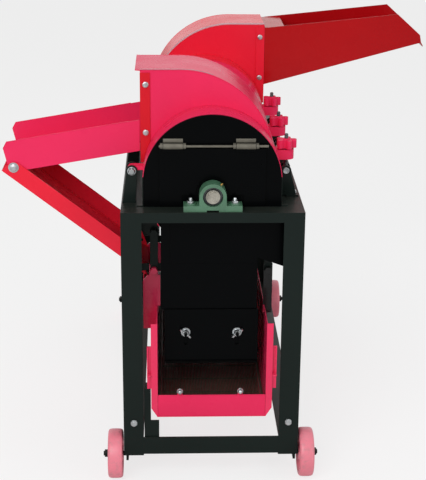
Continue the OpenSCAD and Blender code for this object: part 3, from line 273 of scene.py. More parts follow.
def all_finishes(paints):
    """Every finish by its short name."""
    return {
        "red": enamel("red gloss enamel", paints.near_red, 0.26, 1.8, 0.02, 0.6, 0.06, 0.08),
        "rear_red": enamel("red gloss enamel, rear", paints.rear_red, 0.25, 1.8, 0.03, 0.6, 0.12, 0.12),
        "chute_red": enamel("dark red enamel", paints.chute_red, 0.25, 2.0, 0.05, 0.6, 0.2, 0.1),
        "sieve_red": enamel(
            "red enamel with black irons", paints.near_red, 0.24, 1.8, 0.03, 0.6, 0.3,
            irons=paints.sheet_black,
        ),
        "strip_red": enamel("red enamel in the lap", paints.strip_red, 0.3, 2.0, 0.03, 0.6, 0.1, 0.1),
        # painted sheen: this grey-pink, with its heavy pale film on upward faces, stands for the grazing
        # reflection on the hoods' roof laps
        "painted_sheen": enamel("red enamel with painted sheen", paints.roof_sheen_red, 0.35, 2.0, 0.15, 0.8, 0.3, 0.4),
        "stand": enamel("black-green brushed enamel", paints.stand_black, 0.34, 4.0, 0.05, 0.35, 0.05, 0.12),
        "black": enamel("black gloss enamel", paints.sheet_black, 0.3, 2.5, 0.02, 0.25, 0.02, 0.04),
        "drum": enamel("worn black drum paint", linear("#1d1e1f"), 0.45, 3.0, 0.2, 1.0, 0.1),
        "zinc": bare_metal("zinc-plated steel", linear("#c3c7c9"), 0.32, 2.0),
        "turned": bare_metal("turned shaft steel", linear("#b8b4a8"), 0.32, 1.5),
        "race": bare_metal("blued bearing steel", linear("#55585a"), 0.35, 1.5),
        "dusty": bare_metal("dusty hinge steel", linear("#6f6b60"), 0.6, 3.0, 0.3),
        "screen": bare_metal("grain-polished sieve steel", linear("#4a3728"), 0.55, 9.0, 0.1),
        "brass": bare_metal("turned brass", linear("#c99a4a"), 0.3, 1.5),
        "casting": painted_casting("green painted cast iron", paints.casting_green),
        "pulley": painted_casting("black painted cast iron", linear("#2c2f31")),
        "wheel": cast_tread("red cast polyurethane", paints.wheel_red),
        "belt": belt_rubber("belt rubber"),
    }


# which finish each CAD node has
CAD_FINISH = {
    "red": "front_cover inlet_hood inlet_tray",
    "sieve_red": "sieve_box",
    "rear_red": "rear_cover outlet_hood return_chute",
    "chute_red": "outlet_chute",
    "stand": "left_side_frame right_side_frame cross_rails wheel_brackets guide_post chamber_side_walls"
    " hanger_brackets cover_hinge_brackets latch_brackets chute_pivots hanger_near_left"
    " hanger_near_right hanger_far_left hanger_far_right fan_housing pitman_rod",
    "black": "near_end_plate far_end_plate end_flap hopper_sides lower_end_panel air_plate",
    "zinc": "latch_trunnions",
    "turned": "drum_shaft crank_shaft fan_rotor",
    "drum": "drum_rotor drum_teeth concave_grate",
    "pulley": "drum_pulley fan_pulley crank_pulley",
    "belt": "fan_belt crank_belt",
}


def paint(piece, material):
    """Gives a piece one material all over."""
    piece.data.materials.clear()
    piece.data.materials.append(material)


# modelling

ALONG_X = Matrix.Rotation(math.radians(90), 4, "Y")
TOWARDS_NEAR = Matrix.Rotation(math.radians(90), 4, "X")
TOWARDS_FAR = Matrix.Rotation(math.radians(-90), 4, "X")
FLIPPED = Matrix.Rotation(math.pi, 4, "X")
SAME_PLACE = 1e-6  # metres under which two points are one
THREAD_PITCH = 1.75  # millimetres between the drawn rings; an M10 thread has 1.5


def alone(piece):
    """Makes a piece the only one selected, and active."""
    bpy.ops.object.select_all(action="DESELECT")
    piece.select_set(True)
    bpy.context.view_layer.objects.active = piece


def start(kind, **size):
    """Adds a primitive that is alone in the selection."""
    bpy.ops.object.select_all(action="DESELECT")
    getattr(bpy.ops.mesh, "primitive_" + kind + "_add")(**size)
    return bpy.context.object


def pick_edges(piece, test):
    """In edit mode, selects the edges whose middle passes a test."""
    bpy.ops.mesh.select_mode(type="EDGE")
    bpy.ops.mesh.select_all(action="DESELECT")
    mesh = bmesh.from_edit_mesh(piece.data)
    for edge in mesh.edges:
        middle = (edge.verts[0].co + edge.verts[1].co) / 2
        edge.select_set(bool(test(middle, edge)))
    mesh.select_flush_mode()
    bmesh.update_edit_mesh(piece.data)


def modify(piece, kind, **settings):
    """Adds a modifier and applies it."""
    alone(piece)
    modifier = piece.modifiers.new(kind.lower(), kind)
    for name, value in settings.items():
        setattr(modifier, name, value)
    bpy.ops.object.modifier_apply(modifier=modifier.name)
    return piece


def fuse(piece, others, operation="UNION"):
    """Joins a piece with others, or cuts it with them; the others are used up."""
    for other in others:
        modify(piece, "BOOLEAN", operation=operation, object=other, solver="EXACT")
        bpy.data.objects.remove(other)
    return piece


def round_edges(piece, width, segments=3, angle=40):
    """Rounds the sharp edges of a piece."""
    return modify(
        piece, "BEVEL", width=width * MM, segments=segments, limit_method="ANGLE",
        angle_limit=math.radians(angle), harden_normals=False,
    )


def freeze(piece):
    """Puts a piece's place into its mesh."""
    alone(piece)
    bpy.ops.object.transform_apply(location=True, rotation=True, scale=True)
    return piece


def join(pieces):
    """Joins loose pieces into one object."""
    for piece in pieces:
        freeze(piece)
    alone(pieces[0])
    for piece in pieces:
        piece.select_set(True)
    if len(pieces) > 1:
        bpy.ops.object.join()
    return pieces[0]


def copy_to(piece, place, turn=None):
    """A copy of a piece with its own mesh, turned and moved."""
    twin = piece.copy()
    twin.data = piece.data.copy()
    bpy.context.scene.collection.objects.link(twin)
    twin.matrix_world = Matrix.Translation(place) @ (turn or Matrix.Identity(4))
    return twin


def settle(piece, name, body, finish, angle=35):
    """Finishes a piece: its place in its mesh, smooth shading, its name, its finish and its body."""
    freeze(piece)
    bpy.ops.object.shade_smooth_by_angle(angle=math.radians(angle))
    piece.name = name
    paint(piece, finish)
    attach(piece, body)
    return piece


def drum_shape(radius, length, place=(0, 0, 0), sides=48):
    """A round bar along Z with its middle at a place, all in millimetres."""
    return start(
        "cylinder", vertices=sides, radius=radius * MM, depth=length * MM,
        location=[c * MM for c in place],
    )


def block(low_corner, high_corner):
    """A block given by two corners in millimetres."""
    middle_point = [(a + b) / 2 * MM for a, b in zip(low_corner, high_corner)]
    size = [(b - a) * MM for a, b in zip(low_corner, high_corner)]
    piece = start("cube", size=1, location=middle_point)
    piece.scale = size
    return freeze(piece)


def turned(profile, sides=48, ring=False):
    """A turned shape about Z: a circle is extruded and resized from step to step along a
    profile of (radius, height) in millimetres; a ring closes on its first step."""
    radius, height = profile[0]
    piece = start(
        "circle", vertices=sides, radius=radius * MM, location=(0, 0, height * MM), fill_type="NOTHING"
    )
    freeze(piece)
    bpy.ops.object.mode_set(mode="EDIT")
    bpy.ops.mesh.select_mode(type="EDGE")
    bpy.ops.mesh.select_all(action="SELECT")
    for new_radius, new_height in profile[1:] + (profile[:1] if ring else []):
        rise = (new_height - height) * MM
        bpy.ops.mesh.extrude_region_move(TRANSFORM_OT_translate={"value": (0, 0, rise)})
        factor = new_radius / radius
        bpy.ops.transform.resize(value=(factor, factor, 1), center_override=(0, 0, 0))
        radius, height = new_radius, new_height
    if not ring:
        bpy.ops.mesh.edge_face_add()
        first_z = profile[0][1] * MM
        pick_edges(piece, lambda middle, edge: edge.is_boundary and abs(middle.z - first_z) < SAME_PLACE)
        bpy.ops.mesh.edge_face_add()
    bpy.ops.mesh.select_all(action="SELECT")
    bpy.ops.mesh.remove_doubles(threshold=SAME_PLACE)
    bpy.ops.mesh.normals_make_consistent(inside=False)
    bpy.ops.object.mode_set(mode="OBJECT")
    return piece


def bead(points, radius):
    """A round bead along points given in metres, with closed ends."""
    curve = bpy.data.curves.new("bead", "CURVE")
    curve.dimensions = "3D"
    curve.bevel_depth = radius * MM
    curve.bevel_resolution = 1
    curve.use_fill_caps = True
    spline = curve.splines.new("POLY")
    spline.points.add(len(points) - 1)
    for target, point in zip(spline.points, points):
        target.co = (*point, 1)
    piece = bpy.data.objects.new("bead", curve)
    bpy.context.scene.collection.objects.link(piece)
    alone(piece)
    bpy.ops.object.convert(target="MESH")
    return bpy.context.object


def ribbon(points, near_y, far_y, thick):
    """A strip of sheet along points (x, z) between two depths, all in millimetres."""
    curve = bpy.data.curves.new("ribbon", "CURVE")
    curve.dimensions = "2D"
    curve.extrude = (far_y - near_y) / 2 * MM - thick / 2 * MM
    curve.bevel_depth = thick / 2 * MM
    curve.bevel_resolution = 1
    curve.use_fill_caps = True
    spline = curve.splines.new("POLY")
    spline.points.add(len(points) - 1)
    for target, (x, z) in zip(spline.points, points):
        target.co = (x * MM, z * MM, 0, 1)
    piece = bpy.data.objects.new("ribbon", curve)
    bpy.context.scene.collection.objects.link(piece)
    alone(piece)
    bpy.ops.object.convert(target="MESH")
    piece = bpy.context.object
    piece.matrix_world = Matrix.Translation(at(0, (near_y + far_y) / 2, 0)) @ TOWARDS_NEAR
    return freeze(piece)


# small hardware and castings


def nut(across, height):
    """A hexagon nut or head standing on the origin, its corners turned off."""
    radius = across / 2 / math.cos(math.radians(30))
    return round_edges(drum_shape(radius, height, (0, 0, height / 2), 6), 0.9, 2, 50)


def washer(outer, hole, thick):
    """A flat washer lying on the origin."""
    return turned([(hole, 0), (outer - 0.5, 0), (outer, 0.5), (outer, thick), (hole, thick)], 32, True)


def threaded(radius, low_end, high_end):
    """A threaded rod drawn as rings a pitch apart, with a chamfered end."""
    steps = max(1, int((high_end - low_end - 1.5) / THREAD_PITCH))
    profile = [(radius - 1.2, low_end)]
    for i in range(steps):
        z = low_end + 0.2 + i * THREAD_PITCH
        profile += [(radius - 0.8, z), (radius, z + THREAD_PITCH * 0.45)]
    return turned(profile + [(radius - 0.8, high_end - 1), (radius - 2, high_end)], 20)


def nut_on_stud(across, radius, tail, thick=8):
    """A washer, a nut and the end of its bolt, standing on the origin."""
    lock = turned([(radius, 2), (radius + 2.6, 2), (radius + 2.6, 4), (radius, 4)], 24, True)
    body = nut(across, thick)
    body.location.z = 4 * MM
    return join([washer(across * 0.62, radius, 2), lock, body, threaded(radius, 3, 4 + thick + tail)])


def headed_bolt(across, height, wide=0.52):
    """A bolt head on a washer, standing on the origin."""
    head = nut(across, height)
    head.location.z = 1.5 * MM
    dome_steps = ((0.44, 1.4), (0.4, 1.8), (0.1, 1.9))
    dome = turned([(across * share, height + rise) for share, rise in dome_steps], 24)
    return join([washer(across * wide, 2, 1.5), head, dome])


def pillow_block(length, pitch, width, foot, rise, head, ring):
    """A cast bearing housing about the origin, its shaft along Y: a foot with two bosses, a
    round head with a recess on both sides and an open arch below, and the dark outer race."""
    half = length / 2
    body = block((-half, -width / 2, -rise), (half, width / 2, -rise + foot))
    dome = drum_shape(head, width)
    dome.matrix_world = TOWARDS_NEAR @ dome.matrix_world
    cheek = block((-head, -width / 2, -rise), (head, width / 2, 0))
    parts = [freeze(dome), cheek]
    for side in (-1, 1):
        parts.append(drum_shape(13, foot + 2.4, (side * pitch / 2, 0, -rise + foot / 2 + 1.2)))
    fuse(body, parts)
    arch = block((-head * 0.45, -width, -rise - 1), (head * 0.45, width, -rise + 4))
    bore = drum_shape(ring + 0.3, width * 2)
    recess_near = drum_shape(ring + 7, 24)
    recess_far = drum_shape(ring + 7, 24)
    for cutter, y in ((bore, 0), (recess_near, -width / 2), (recess_far, width / 2)):
        cutter.matrix_world = Matrix.Translation((0, y * MM, 0)) @ TOWARDS_NEAR
        freeze(cutter)
    fuse(body, [arch, bore, recess_near, recess_far], "DIFFERENCE")
    round_edges(body, 1.6, 3, 45)
    race = turned(
        [
            (ring + 0.4, -8), (ring + 6.2, -8), (ring + 7, -7.2),
            (ring + 7, 7.2), (ring + 6.2, 8), (ring + 0.4, 8),
        ],
        48, True,
    )
    race.matrix_world = TOWARDS_NEAR
    return body, freeze(race)


def star_knob():
    """A star knob about the origin: five round lobes on a hub, rounded all over."""
    hub = drum_shape(14.5, 21)
    parts = []
    for i in range(5):
        turn = Matrix.Rotation(math.radians(72 * i), 4, "Z")
        for part in (drum_shape(6.6, 21, (18.9, 0, 0), 32), block((6, -6.6, -10.5), (18.9, 6.6, 10.5))):
            part.matrix_world = turn @ part.matrix_world
            parts.append(freeze(part))
    fuse(hub, parts)
    modify(hub, "BEVEL", width=3.2 * MM, segments=4, limit_method="ANGLE", angle_limit=math.radians(60))
    top = drum_shape(9, 3, (0, 0, 11))
    fuse(hub, [round_edges(top, 0.8)])
    return hub


def wing_nut():
    """A wing nut standing on the origin with its washer."""
    body = turned([(4.3, 1.6), (8.6, 1.6), (8.2, 3.6), (6.4, 10), (5.6, 11.4), (4.3, 11.4)], 32, True)
    wings = []
    for side in (-1, 1):
        ear = drum_shape(5.4, 3.4, sides=32)
        ear.matrix_world = Matrix.Translation((side * 12.4 * MM, 0, 9.5 * MM)) @ TOWARDS_NEAR
        web = block((4.8, -1.7, 3.4), (12.4, 1.7, 13))
        if side < 0:
            web.matrix_world = Matrix.Rotation(math.pi, 4, "Z")
        wings += [freeze(ear), freeze(web)]
    fuse(body, wings)
    round_edges(body, 0.9, 2, 50)
    return join([body, washer(11.5, 4.3, 1.6)])


def cast_wheel(radius, width, rib_count):
    """A wheel about the origin with its axle along X: a crowned tread, a dished side with
    ribs, and a hub with its bearing rings."""
    r, h = radius, width / 2
    half = [
        (11, -h + 1), (17, -h), (20, -h + 2), (21.5, -h + 7), (r - 18, -h + 9), (r - 15.5, -h + 4),
        (r - 13.5, -h + 1.2), (r - 6, -h + 0.6), (r - 2.4, -h + 2.4), (r - 0.7, -h + 6), (r - 0.1, -h + 12),
    ]
    body = turned(half + [(a, -b) for a, b in reversed(half)], 96, True)
    ribs = []
    for i in range(rib_count):
        rib = block((19, -2.6, -h + 4), (r - 14.5, 2.6, h - 4))
        rib.matrix_world = Matrix.Rotation(2 * math.pi * i / rib_count, 4, "Z")
        ribs.append(freeze(rib))
    fuse(body, ribs)
    body.matrix_world = ALONG_X
    bearing = turned(
        [(6.1, -h + 1.5), (7.6, -h + 1), (8, -h + 2.2), (10, -h + 2.2), (10.9, -h + 1.2), (10.9, h - 1.2),
         (10, h - 2.2), (8, h - 2.2), (7.6, h - 1), (6.1, h - 1.5)],
        48, True,
    )
    bearing.matrix_world = ALONG_X
    return freeze(body), freeze(bearing)


# where things are, in millimetres from the stand's middle, its near face and the floor

HINGE_YS = (100.4, 420.4, 650.6)
LATCH_YS = (150.4, 380.4, 610.6)
BRACKET_BOLT_X = 205
LATCH_X = 183.5
NEAR_ROW, FAR_ROW = 25, 1075
WHEEL_R = 62.5
COVER_AXIS_Z, COVER_R = 774, 168.4
ROOF_Z, ROOF_BEND_X, ROOF_BEND_Z, ROOF_R = 1027, 75, 798, 229.2
HOOD_W = 190
INLET_Y, OUTLET_Y = 140, 788
TRAY_FOOT_X, TRAY_FOOT_Z, TRAY_SLOPE = -175, 830, 9.7
FLAP_HINGE_Y, FLAP_HINGE_Z = 41.4, 866
FLAP_KNUCKLES = ((-118, -71), (55, 102))
# each upright bolt as x, y and the two heights it grips between
UPRIGHT_BOLTS = (
    *[(x, y, 709, 729) for x in (-52.5, 52.5) for y in (NEAR_ROW, FAR_ROW)],
    *[(x, FAR_ROW, 401.7, 421.7) for x in (-47.5, 47.5)],
    *[(x, y, 118, 138) for x in (62.5, 157.5) for y in (1012, FAR_ROW)],
)
BRACKET_BOLTS = (
    *[(-BRACKET_BOLT_X, y) for y in HINGE_YS],
    *[(BRACKET_BOLT_X, y) for y in LATCH_YS],
)
DRUM_BEARINGS = ((0, NEAR_ROW, 750.5), (0, FAR_ROW, 750.5))
LOWER_BEARINGS = ((0, FAR_ROW, 440), (110, FAR_ROW, 156.3), (110, 1012, 156.3))

# settings


def length_prop(name, text, millimetres):
    """A length property given in millimetres."""
    return FloatProperty(name=name, description=text, default=millimetres * MM, unit="LENGTH")


def colour_prop(name, text, code):
    """A colour property given as an sRGB hex colour."""
    return FloatVectorProperty(name=name, description=text, subtype="COLOR", default=linear(code)[:3])


class ThresherPaints(bpy.types.PropertyGroup):
    """Colours of the paints and the wheels."""

    near_red: colour_prop("Near red", "Front cover, inlet hood, tray, sieve box and knobs", "#f0305f")
    rear_red: colour_prop("Rear red", "Rear cover, outlet hood and return chute", "#f0233b")
    chute_red: colour_prop("Chute red", "Outlet chute", "#b80d14")
    strip_red: colour_prop("Strip red", "Lap strips down the inlet hood's edge", "#dc1c2c")
    # painted sheen: the grey-pink that a grazing reflection gives the roof laps, set as a paint colour
    roof_sheen_red: colour_prop("Roof sheen red", "Lap strips on the hoods' roofs", "#bd4a66")
    stand_black: colour_prop("Stand black", "Angle iron of the stand", "#141e1b")
    sheet_black: colour_prop("Sheet black", "End plates, flap and hopper", "#030405")
    casting_green: colour_prop("Casting green", "Bearing housings", "#4c785c")
    wheel_red: colour_prop("Wheel red", "Wheels", "#f68798")


class ThresherFittings(bpy.types.PropertyGroup):
    """Sizes of the fittings."""

    bolt_across: length_prop("Frame nut", "Width across flats of the frame's nuts", 16)
    small_across: length_prop("Hood nut", "Width across flats of the hoods' and brackets' bolts", 13)
    hem: length_prop("Hem", "Radius of the rolled sheet edges", 1.5)
    screen_wire: length_prop("Screen wire", "Thickness of the screen's wires", 3.1)
    screen_pitch: length_prop("Screen pitch", "Distance from wire to wire", 3.9)
    wheel_ribs: IntProperty(name="Wheel ribs", description="Ribs inside a wheel", default=8)


class ThresherStage(bpy.types.PropertyGroup):
    """Sizes of the stage and the view."""

    view_height: length_prop("View height", "Camera height above the floor", 1630)
    view_back: length_prop("View distance", "Camera in front of the near face", 2818)
    view_side: length_prop("View offset", "Camera left of the stand's middle", 103)
    view_pitch: FloatProperty(
        name="View pitch", description="Downward tilt", default=math.radians(19.23), subtype="ANGLE"
    )
    view_yaw: FloatProperty(
        name="View yaw", description="Turn to the right", default=math.radians(2.10), subtype="ANGLE"
    )
    view_roll: FloatProperty(
        name="View roll", description="Roll of the picture", default=math.radians(-0.49), subtype="ANGLE"
    )
    focal_points: FloatProperty(
        name="Focal length", description="Focal length in points of a picture 480 high", default=1251.0
    )
    floor_colour: colour_prop("Floor", "Colour of the floor", "#f2f2f2")


# operators

FLOOR_SIZE = 60  # metres
FLOOR_GLOW = 0.75  # share of white that the eye sees on the floor over its shaded colour
ROOM_LIGHT = 0.42  # how strongly the white room lights the machine
PICTURE_HEIGHT = 480
FINISHES = {}


class Step:
    """What the operators share."""

    bl_options = {"REGISTER", "UNDO"}

    @property
    def sizes(self):
        return bpy.context.scene.thresher_fittings


class THRESHER_OT_finishes(Step, bpy.types.Operator):
    """Gives each CAD node its finish"""

    bl_idname = "thresher.finishes"
    bl_label = "Finishes"

    def execute(self, context):
        FINISHES.update(all_finishes(context.scene.thresher_paints))
        for key, names in CAD_FINISH.items():
            for name in names.split():
                paint(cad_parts[name], FINISHES[key])
        return {"FINISHED"}


class THRESHER_OT_bearings(Step, bpy.types.Operator):
    """Casts the bearing housings with their races and grease nipples"""

    bl_idname = "thresher.bearings"
    bl_label = "Bearings"

    def execute(self, context):
        for group, node, spots, sizes in (
            ("drum_housings", "drum_bearings", DRUM_BEARINGS, (140, 105, 38, 15, 36.5, 32.4, 17)),
            ("lower_housings", "lower_bearings", LOWER_BEARINGS, (127, 95, 38, 15, 33.3, 32, 14)),
        ):
            body, race = pillow_block(*sizes)
            housings = [copy_to(body, at(*spot)) for spot in spots]
            races = [copy_to(race, at(*spot)) for spot in spots]
            for master in (body, race):
                bpy.data.objects.remove(master)
            if node == "lower_bearings":
                housings.append(self.flange())
            whole = settle(join(housings), group, "stand", FINISHES["casting"], 50)
            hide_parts(node)
            settle(join(races), group.replace("housings", "races"), "stand", FINISHES["race"])
        self.nipples()
        return {"FINISHED"}

    def flange(self):
        """The round flange bearing on the fan casing."""
        disc = turned([(8.3, 0), (28.6, 0), (30, 1.4), (30, 4), (20, 4.6), (17, 6), (8.3, 6)], 48, True)
        disc.matrix_world = Matrix.Translation(at(0, 952, 440)) @ TOWARDS_NEAR
        return freeze(disc)

    def nipples(self):
        """Greasing nipples on the drum's bearings."""
        shape = [(3, -1.5), (3, 1.8), (2.2, 2.2), (1.6, 2.6), (1.6, 3.2), (2.1, 3.6), (2, 4.4), (0.9, 4.9)]
        master = turned(shape, 16)
        lean = Matrix.Rotation(math.radians(38), 4, "Y")
        pieces = []
        for x, y, z in DRUM_BEARINGS:
            pieces.append(copy_to(master, at(x, y, z), lean @ Matrix.Translation((0, 0, 32.2 * MM))))
        bpy.data.objects.remove(master)
        whole = settle(join(pieces), "greasing_nipples", "stand", FINISHES["brass"])
        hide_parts("grease_nipples")


class THRESHER_OT_fasteners(Step, bpy.types.Operator):
    """Sets the bolts, washers and nuts of the stand and the hoods"""

    bl_idname = "thresher.fasteners"
    bl_label = "Fasteners"

    def execute(self, context):
        across = self.sizes.bolt_across / MM
        small = self.sizes.small_across / MM
        over = nut_on_stud(across, 5, 4)
        under = headed_bolt(across, 6)
        light = nut_on_stud(small, 4, 2, 7)
        button = headed_bolt(small, 4.6, 0.56)
        pieces = []
        for x, y, z0, z1 in UPRIGHT_BOLTS:
            pieces.append(copy_to(over, at(x, y, z1)))
            pieces.append(copy_to(under, at(x, y, z0), FLIPPED))
        for x, y in BRACKET_BOLTS:
            pieces.append(copy_to(light, at(x, y, 718)))
            pieces.append(copy_to(button, at(x, y, 709), FLIPPED))
        for side in (-1, 1):
            pieces.append(copy_to(under, at(side * 194, 0, 161), TOWARDS_NEAR))
            pieces.append(copy_to(over, at(side * 194, 5, 161), TOWARDS_FAR))
        settle(join(pieces), "frame_bolts", "stand", FINISHES["zinc"], 30)
        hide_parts("frame_fasteners")
        for name, node, body, x, y0, y1 in (
            ("inlet_hood_bolts", "cover_fasteners", "cover", -160, 138, 332),
            ("outlet_hood_bolts", "outlet_fasteners", "stand", 160, 786, 980),
        ):
            pieces = []
            for z in (875, 993):
                pieces.append(copy_to(button, at(x, y0, z), TOWARDS_NEAR))
                pieces.append(copy_to(button, at(x, y1, z), TOWARDS_FAR))
            settle(join(pieces), name, body, FINISHES["zinc"], 30)
            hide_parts(node)
        for master in (over, under, light, button):
            bpy.data.objects.remove(master)
        return {"FINISHED"}


class THRESHER_OT_knobs(Step, bpy.types.Operator):
    """Casts the star knobs with their studs"""

    bl_idname = "thresher.knobs"
    bl_label = "Star knobs"

    def execute(self, context):
        head = star_knob()
        for name, y in zip(("near", "middle", "far"), LATCH_YS):
            knob = copy_to(head, at(LATCH_X, y, 845.2))
            settle(knob, name + "_star_knob", name + "_knob", FINISHES["red"], 40)
            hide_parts("star_knob_" + name)
            plate = washer(11, 5, 2)
            plate.location.z = 832.3 * MM
            rod = join([threaded(5, 777, 869.5), plate])
            rod.location = at(LATCH_X, y, 0)
            settle(rod, name + "_knob_stud", name + "_knob", FINISHES["race"], 30)
        bpy.data.objects.remove(head)
        return {"FINISHED"}


class THRESHER_OT_wing_nuts(Step, bpy.types.Operator):
    """Presses the wing nuts of the air plate"""

    bl_idname = "thresher.wing_nuts"
    bl_label = "Wing nuts"

    def execute(self, context):
        master = wing_nut()
        for name, side in (("left", -1), ("right", 1)):
            turn = Matrix.Rotation(math.radians(-38 * side), 4, "Y")
            piece = copy_to(master, at(side * 64, 48.4, 387), turn @ TOWARDS_NEAR)
            settle(piece, name + "_wings", name + "_wing_nut", FINISHES["zinc"])
            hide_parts("wing_nut_" + name)
        bpy.data.objects.remove(master)
        return {"FINISHED"}


class THRESHER_OT_wheels(Step, bpy.types.Operator):
    """Moulds the wheels with their bearings"""

    bl_idname = "thresher.wheels"
    bl_label = "Wheels"

    def execute(self, context):
        tyre, bearing = cast_wheel(WHEEL_R, 38, self.sizes.wheel_ribs)
        for row, y in (("near", NEAR_ROW), ("far", FAR_ROW)):
            for side, x in (("left", -242), ("right", 242)):
                body = f"{row}_{side}_wheel"
                piece = copy_to(tyre, at(x, y, WHEEL_R))
                settle(piece, f"{row}_{side}_tyre", body, FINISHES["wheel"], 40)
                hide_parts(f"wheel_{row}_{side}")
                ring = copy_to(bearing, at(x, y, WHEEL_R))
                settle(ring, f"{row}_{side}_wheel_bearing", body, FINISHES["race"])
        for master in (tyre, bearing):
            bpy.data.objects.remove(master)
        return {"FINISHED"}


class THRESHER_OT_hems(Step, bpy.types.Operator):
    """Rolls the hems of the hoods, the tray and the outlet chute, and lays the hoods' laps, painted with a
    grey sheen
    """

    bl_idname = "thresher.hems"
    bl_label = "Rolled hems"

    def execute(self, context):
        hem = self.sizes.hem / MM
        for name, body, side, y0, slot, finish in (
            ("inlet_hood_hem", "cover", -1, INLET_Y, "red_paint", "red"),
            ("outlet_hood_hem", "stand", 1, OUTLET_Y, "red_paint", "rear_red"),
        ):
            arc = [(side * 173, ROOF_Z), (side * 125, ROOF_Z)]
            for turn in range(90, 14, -4):
                across = ROOF_BEND_X - ROOF_R * math.cos(math.radians(turn))
                arc.append((side * across, ROOF_BEND_Z + ROOF_R * math.sin(math.radians(turn))))
            pieces = [bead([at(x, y, z) for x, z in arc], hem) for y in (y0 + 0.8, y0 + HOOD_W - 0.8)]
            settle(join(pieces), name, body, FINISHES[finish], 60)
            # the inlet hood's grey line, a painted sheen on its lap, is narrow and ends a little into the
            # roof's bend
            lap_end, far_edge = (8, y0 + 12) if side < 0 else (len(arc), y0 + 30)
            lap = ribbon([(x, z + 1.4) for x, z in arc[:lap_end]], y0 + 1.5, far_edge, 0.8)
            settle(lap, name.replace("hem", "roof_lap_painted_sheen"), body, FINISHES["painted_sheen"], 60)
            self.strips(name.replace("hem", "strips"), body, side, y0, slot)
        slope = math.radians(TRAY_SLOPE)
        tray = []
        for x, z in ((-325, 62), (-314, 76), (-14, 76)):
            across = x * math.cos(slope) - z * math.sin(slope)
            up = x * math.sin(slope) + z * math.cos(slope)
            tray.append((TRAY_FOOT_X + across, TRAY_FOOT_Z + up))
        pieces = [bead([at(x, y, z) for x, z in tray], hem) for y in (136, 334)]
        settle(join(pieces), "tray_hem", "cover", FINISHES["red"], 60)
        chute = ((175, 1018.8), (557, 1058.7), (624.6, 999.2), (628, 980))
        pieces = [bead([at(x, y, z) for x, z in chute], hem * 0.8) for y in (787, 979)]
        settle(join(pieces), "outlet_chute_hem", "stand", FINISHES["chute_red"], 60)
        return {"FINISHED"}

    def strips(self, name, body, side, y0, slot):
        """The lap strips down the open edge of a hood, cut round by the cover. They are darker
        than the wall on the inlet hood only."""
        pieces = []
        for near_face in (y0 - 2.5, y0 + HOOD_W + 2):
            strip = block((149, near_face, 800), (173.4, near_face + 0.5, 1022))
            strip.location = at(0, 0, 0)
            if side < 0:
                strip.location.x -= 322.4 * MM
            cutter = drum_shape(COVER_R, 40, sides=128)
            cutter.matrix_world = Matrix.Translation(at(0, near_face, COVER_AXIS_Z)) @ TOWARDS_NEAR
            pieces.append(fuse(freeze(strip), [freeze(cutter)], "DIFFERENCE"))
        settle(join(pieces), name, body, FINISHES["strip_red" if side < 0 else "rear_red"], 30)


class THRESHER_OT_chute_bolts(Step, bpy.types.Operator):
    """Sets the bolts of the return chute and the nuts of the cover's hinges and latches"""

    bl_idname = "thresher.chute_bolts"
    bl_label = "Chute and hinge bolts"

    def execute(self, context):
        big = headed_bolt(17, 7, 0.75)
        pieces = [
            copy_to(big, at(-482.5, 131, 789.4), TOWARDS_NEAR),
            copy_to(big, at(-482.5, 339, 789.4), TOWARDS_FAR),
        ]
        bpy.data.objects.remove(big)
        settle(join(pieces), "return_chute_bolts", "lower_chute", FINISHES["zinc"], 30)
        pin_nut = headed_bolt(15.6, 6.4, 0.66)
        pieces = [copy_to(pin_nut, at(-194, y - 18, 794), TOWARDS_NEAR) for y in HINGE_YS]
        bpy.data.objects.remove(pin_nut)
        rim = [(2.4, -0.5), (2.4, 0.4), (4.6, 0.4), (5.2, 1.4), (7.2, 1.4), (7.8, 0.6), (7.8, -0.5)]
        cap = turned(rim, 32, True)
        pieces += [copy_to(cap, at(LATCH_X, y - 20, 780), TOWARDS_NEAR) for y in LATCH_YS]
        bpy.data.objects.remove(cap)
        settle(join(pieces), "hinge_nuts", "stand", FINISHES["zinc"], 30)
        return {"FINISHED"}


class THRESHER_OT_end_gate(Step, bpy.types.Operator):
    """Bends the sieve's end gate and sets its two bolts"""

    bl_idname = "thresher.end_gate"
    bl_label = "Sieve end gate"

    def execute(self, context):
        plate = block((-133.7, -11.5, 185), (133.7, -9.5, 242))
        plate.location = at(0, 0, 0)
        parts = [round_edges(freeze(plate), 0.6, 2)]
        parts.append(bead([at(-132, -10.5, 241.4), at(132, -10.5, 241.4)], 1.6))
        bolts = []
        dome = turned([(7.4, 0), (7.4, 1.4), (6.2, 1.6), (6.2, 4), (5.4, 6.6), (3.6, 8.6), (1.2, 9.4)], 24)
        for x in (-79, 71):
            tab = block((x - 6.5, -9.5, 228), (x + 6.5, -7.5, 257))
            tab.location = at(0, 0, 0)
            parts.append(round_edges(freeze(tab), 0.6, 2))
            bolts.append(copy_to(dome, at(x, -9.5, 251.6), TOWARDS_NEAR))
            bolts.append(copy_to(dome, at(x, -7.5, 251.6), TOWARDS_FAR))
        bpy.data.objects.remove(dome)
        gate = settle(join(parts), "end_gate", "sieve", FINISHES["red"], 40)
        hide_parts("sieve_end_gate")
        settle(join(bolts), "end_gate_bolts", "sieve", FINISHES["zinc"], 40)
        return {"FINISHED"}


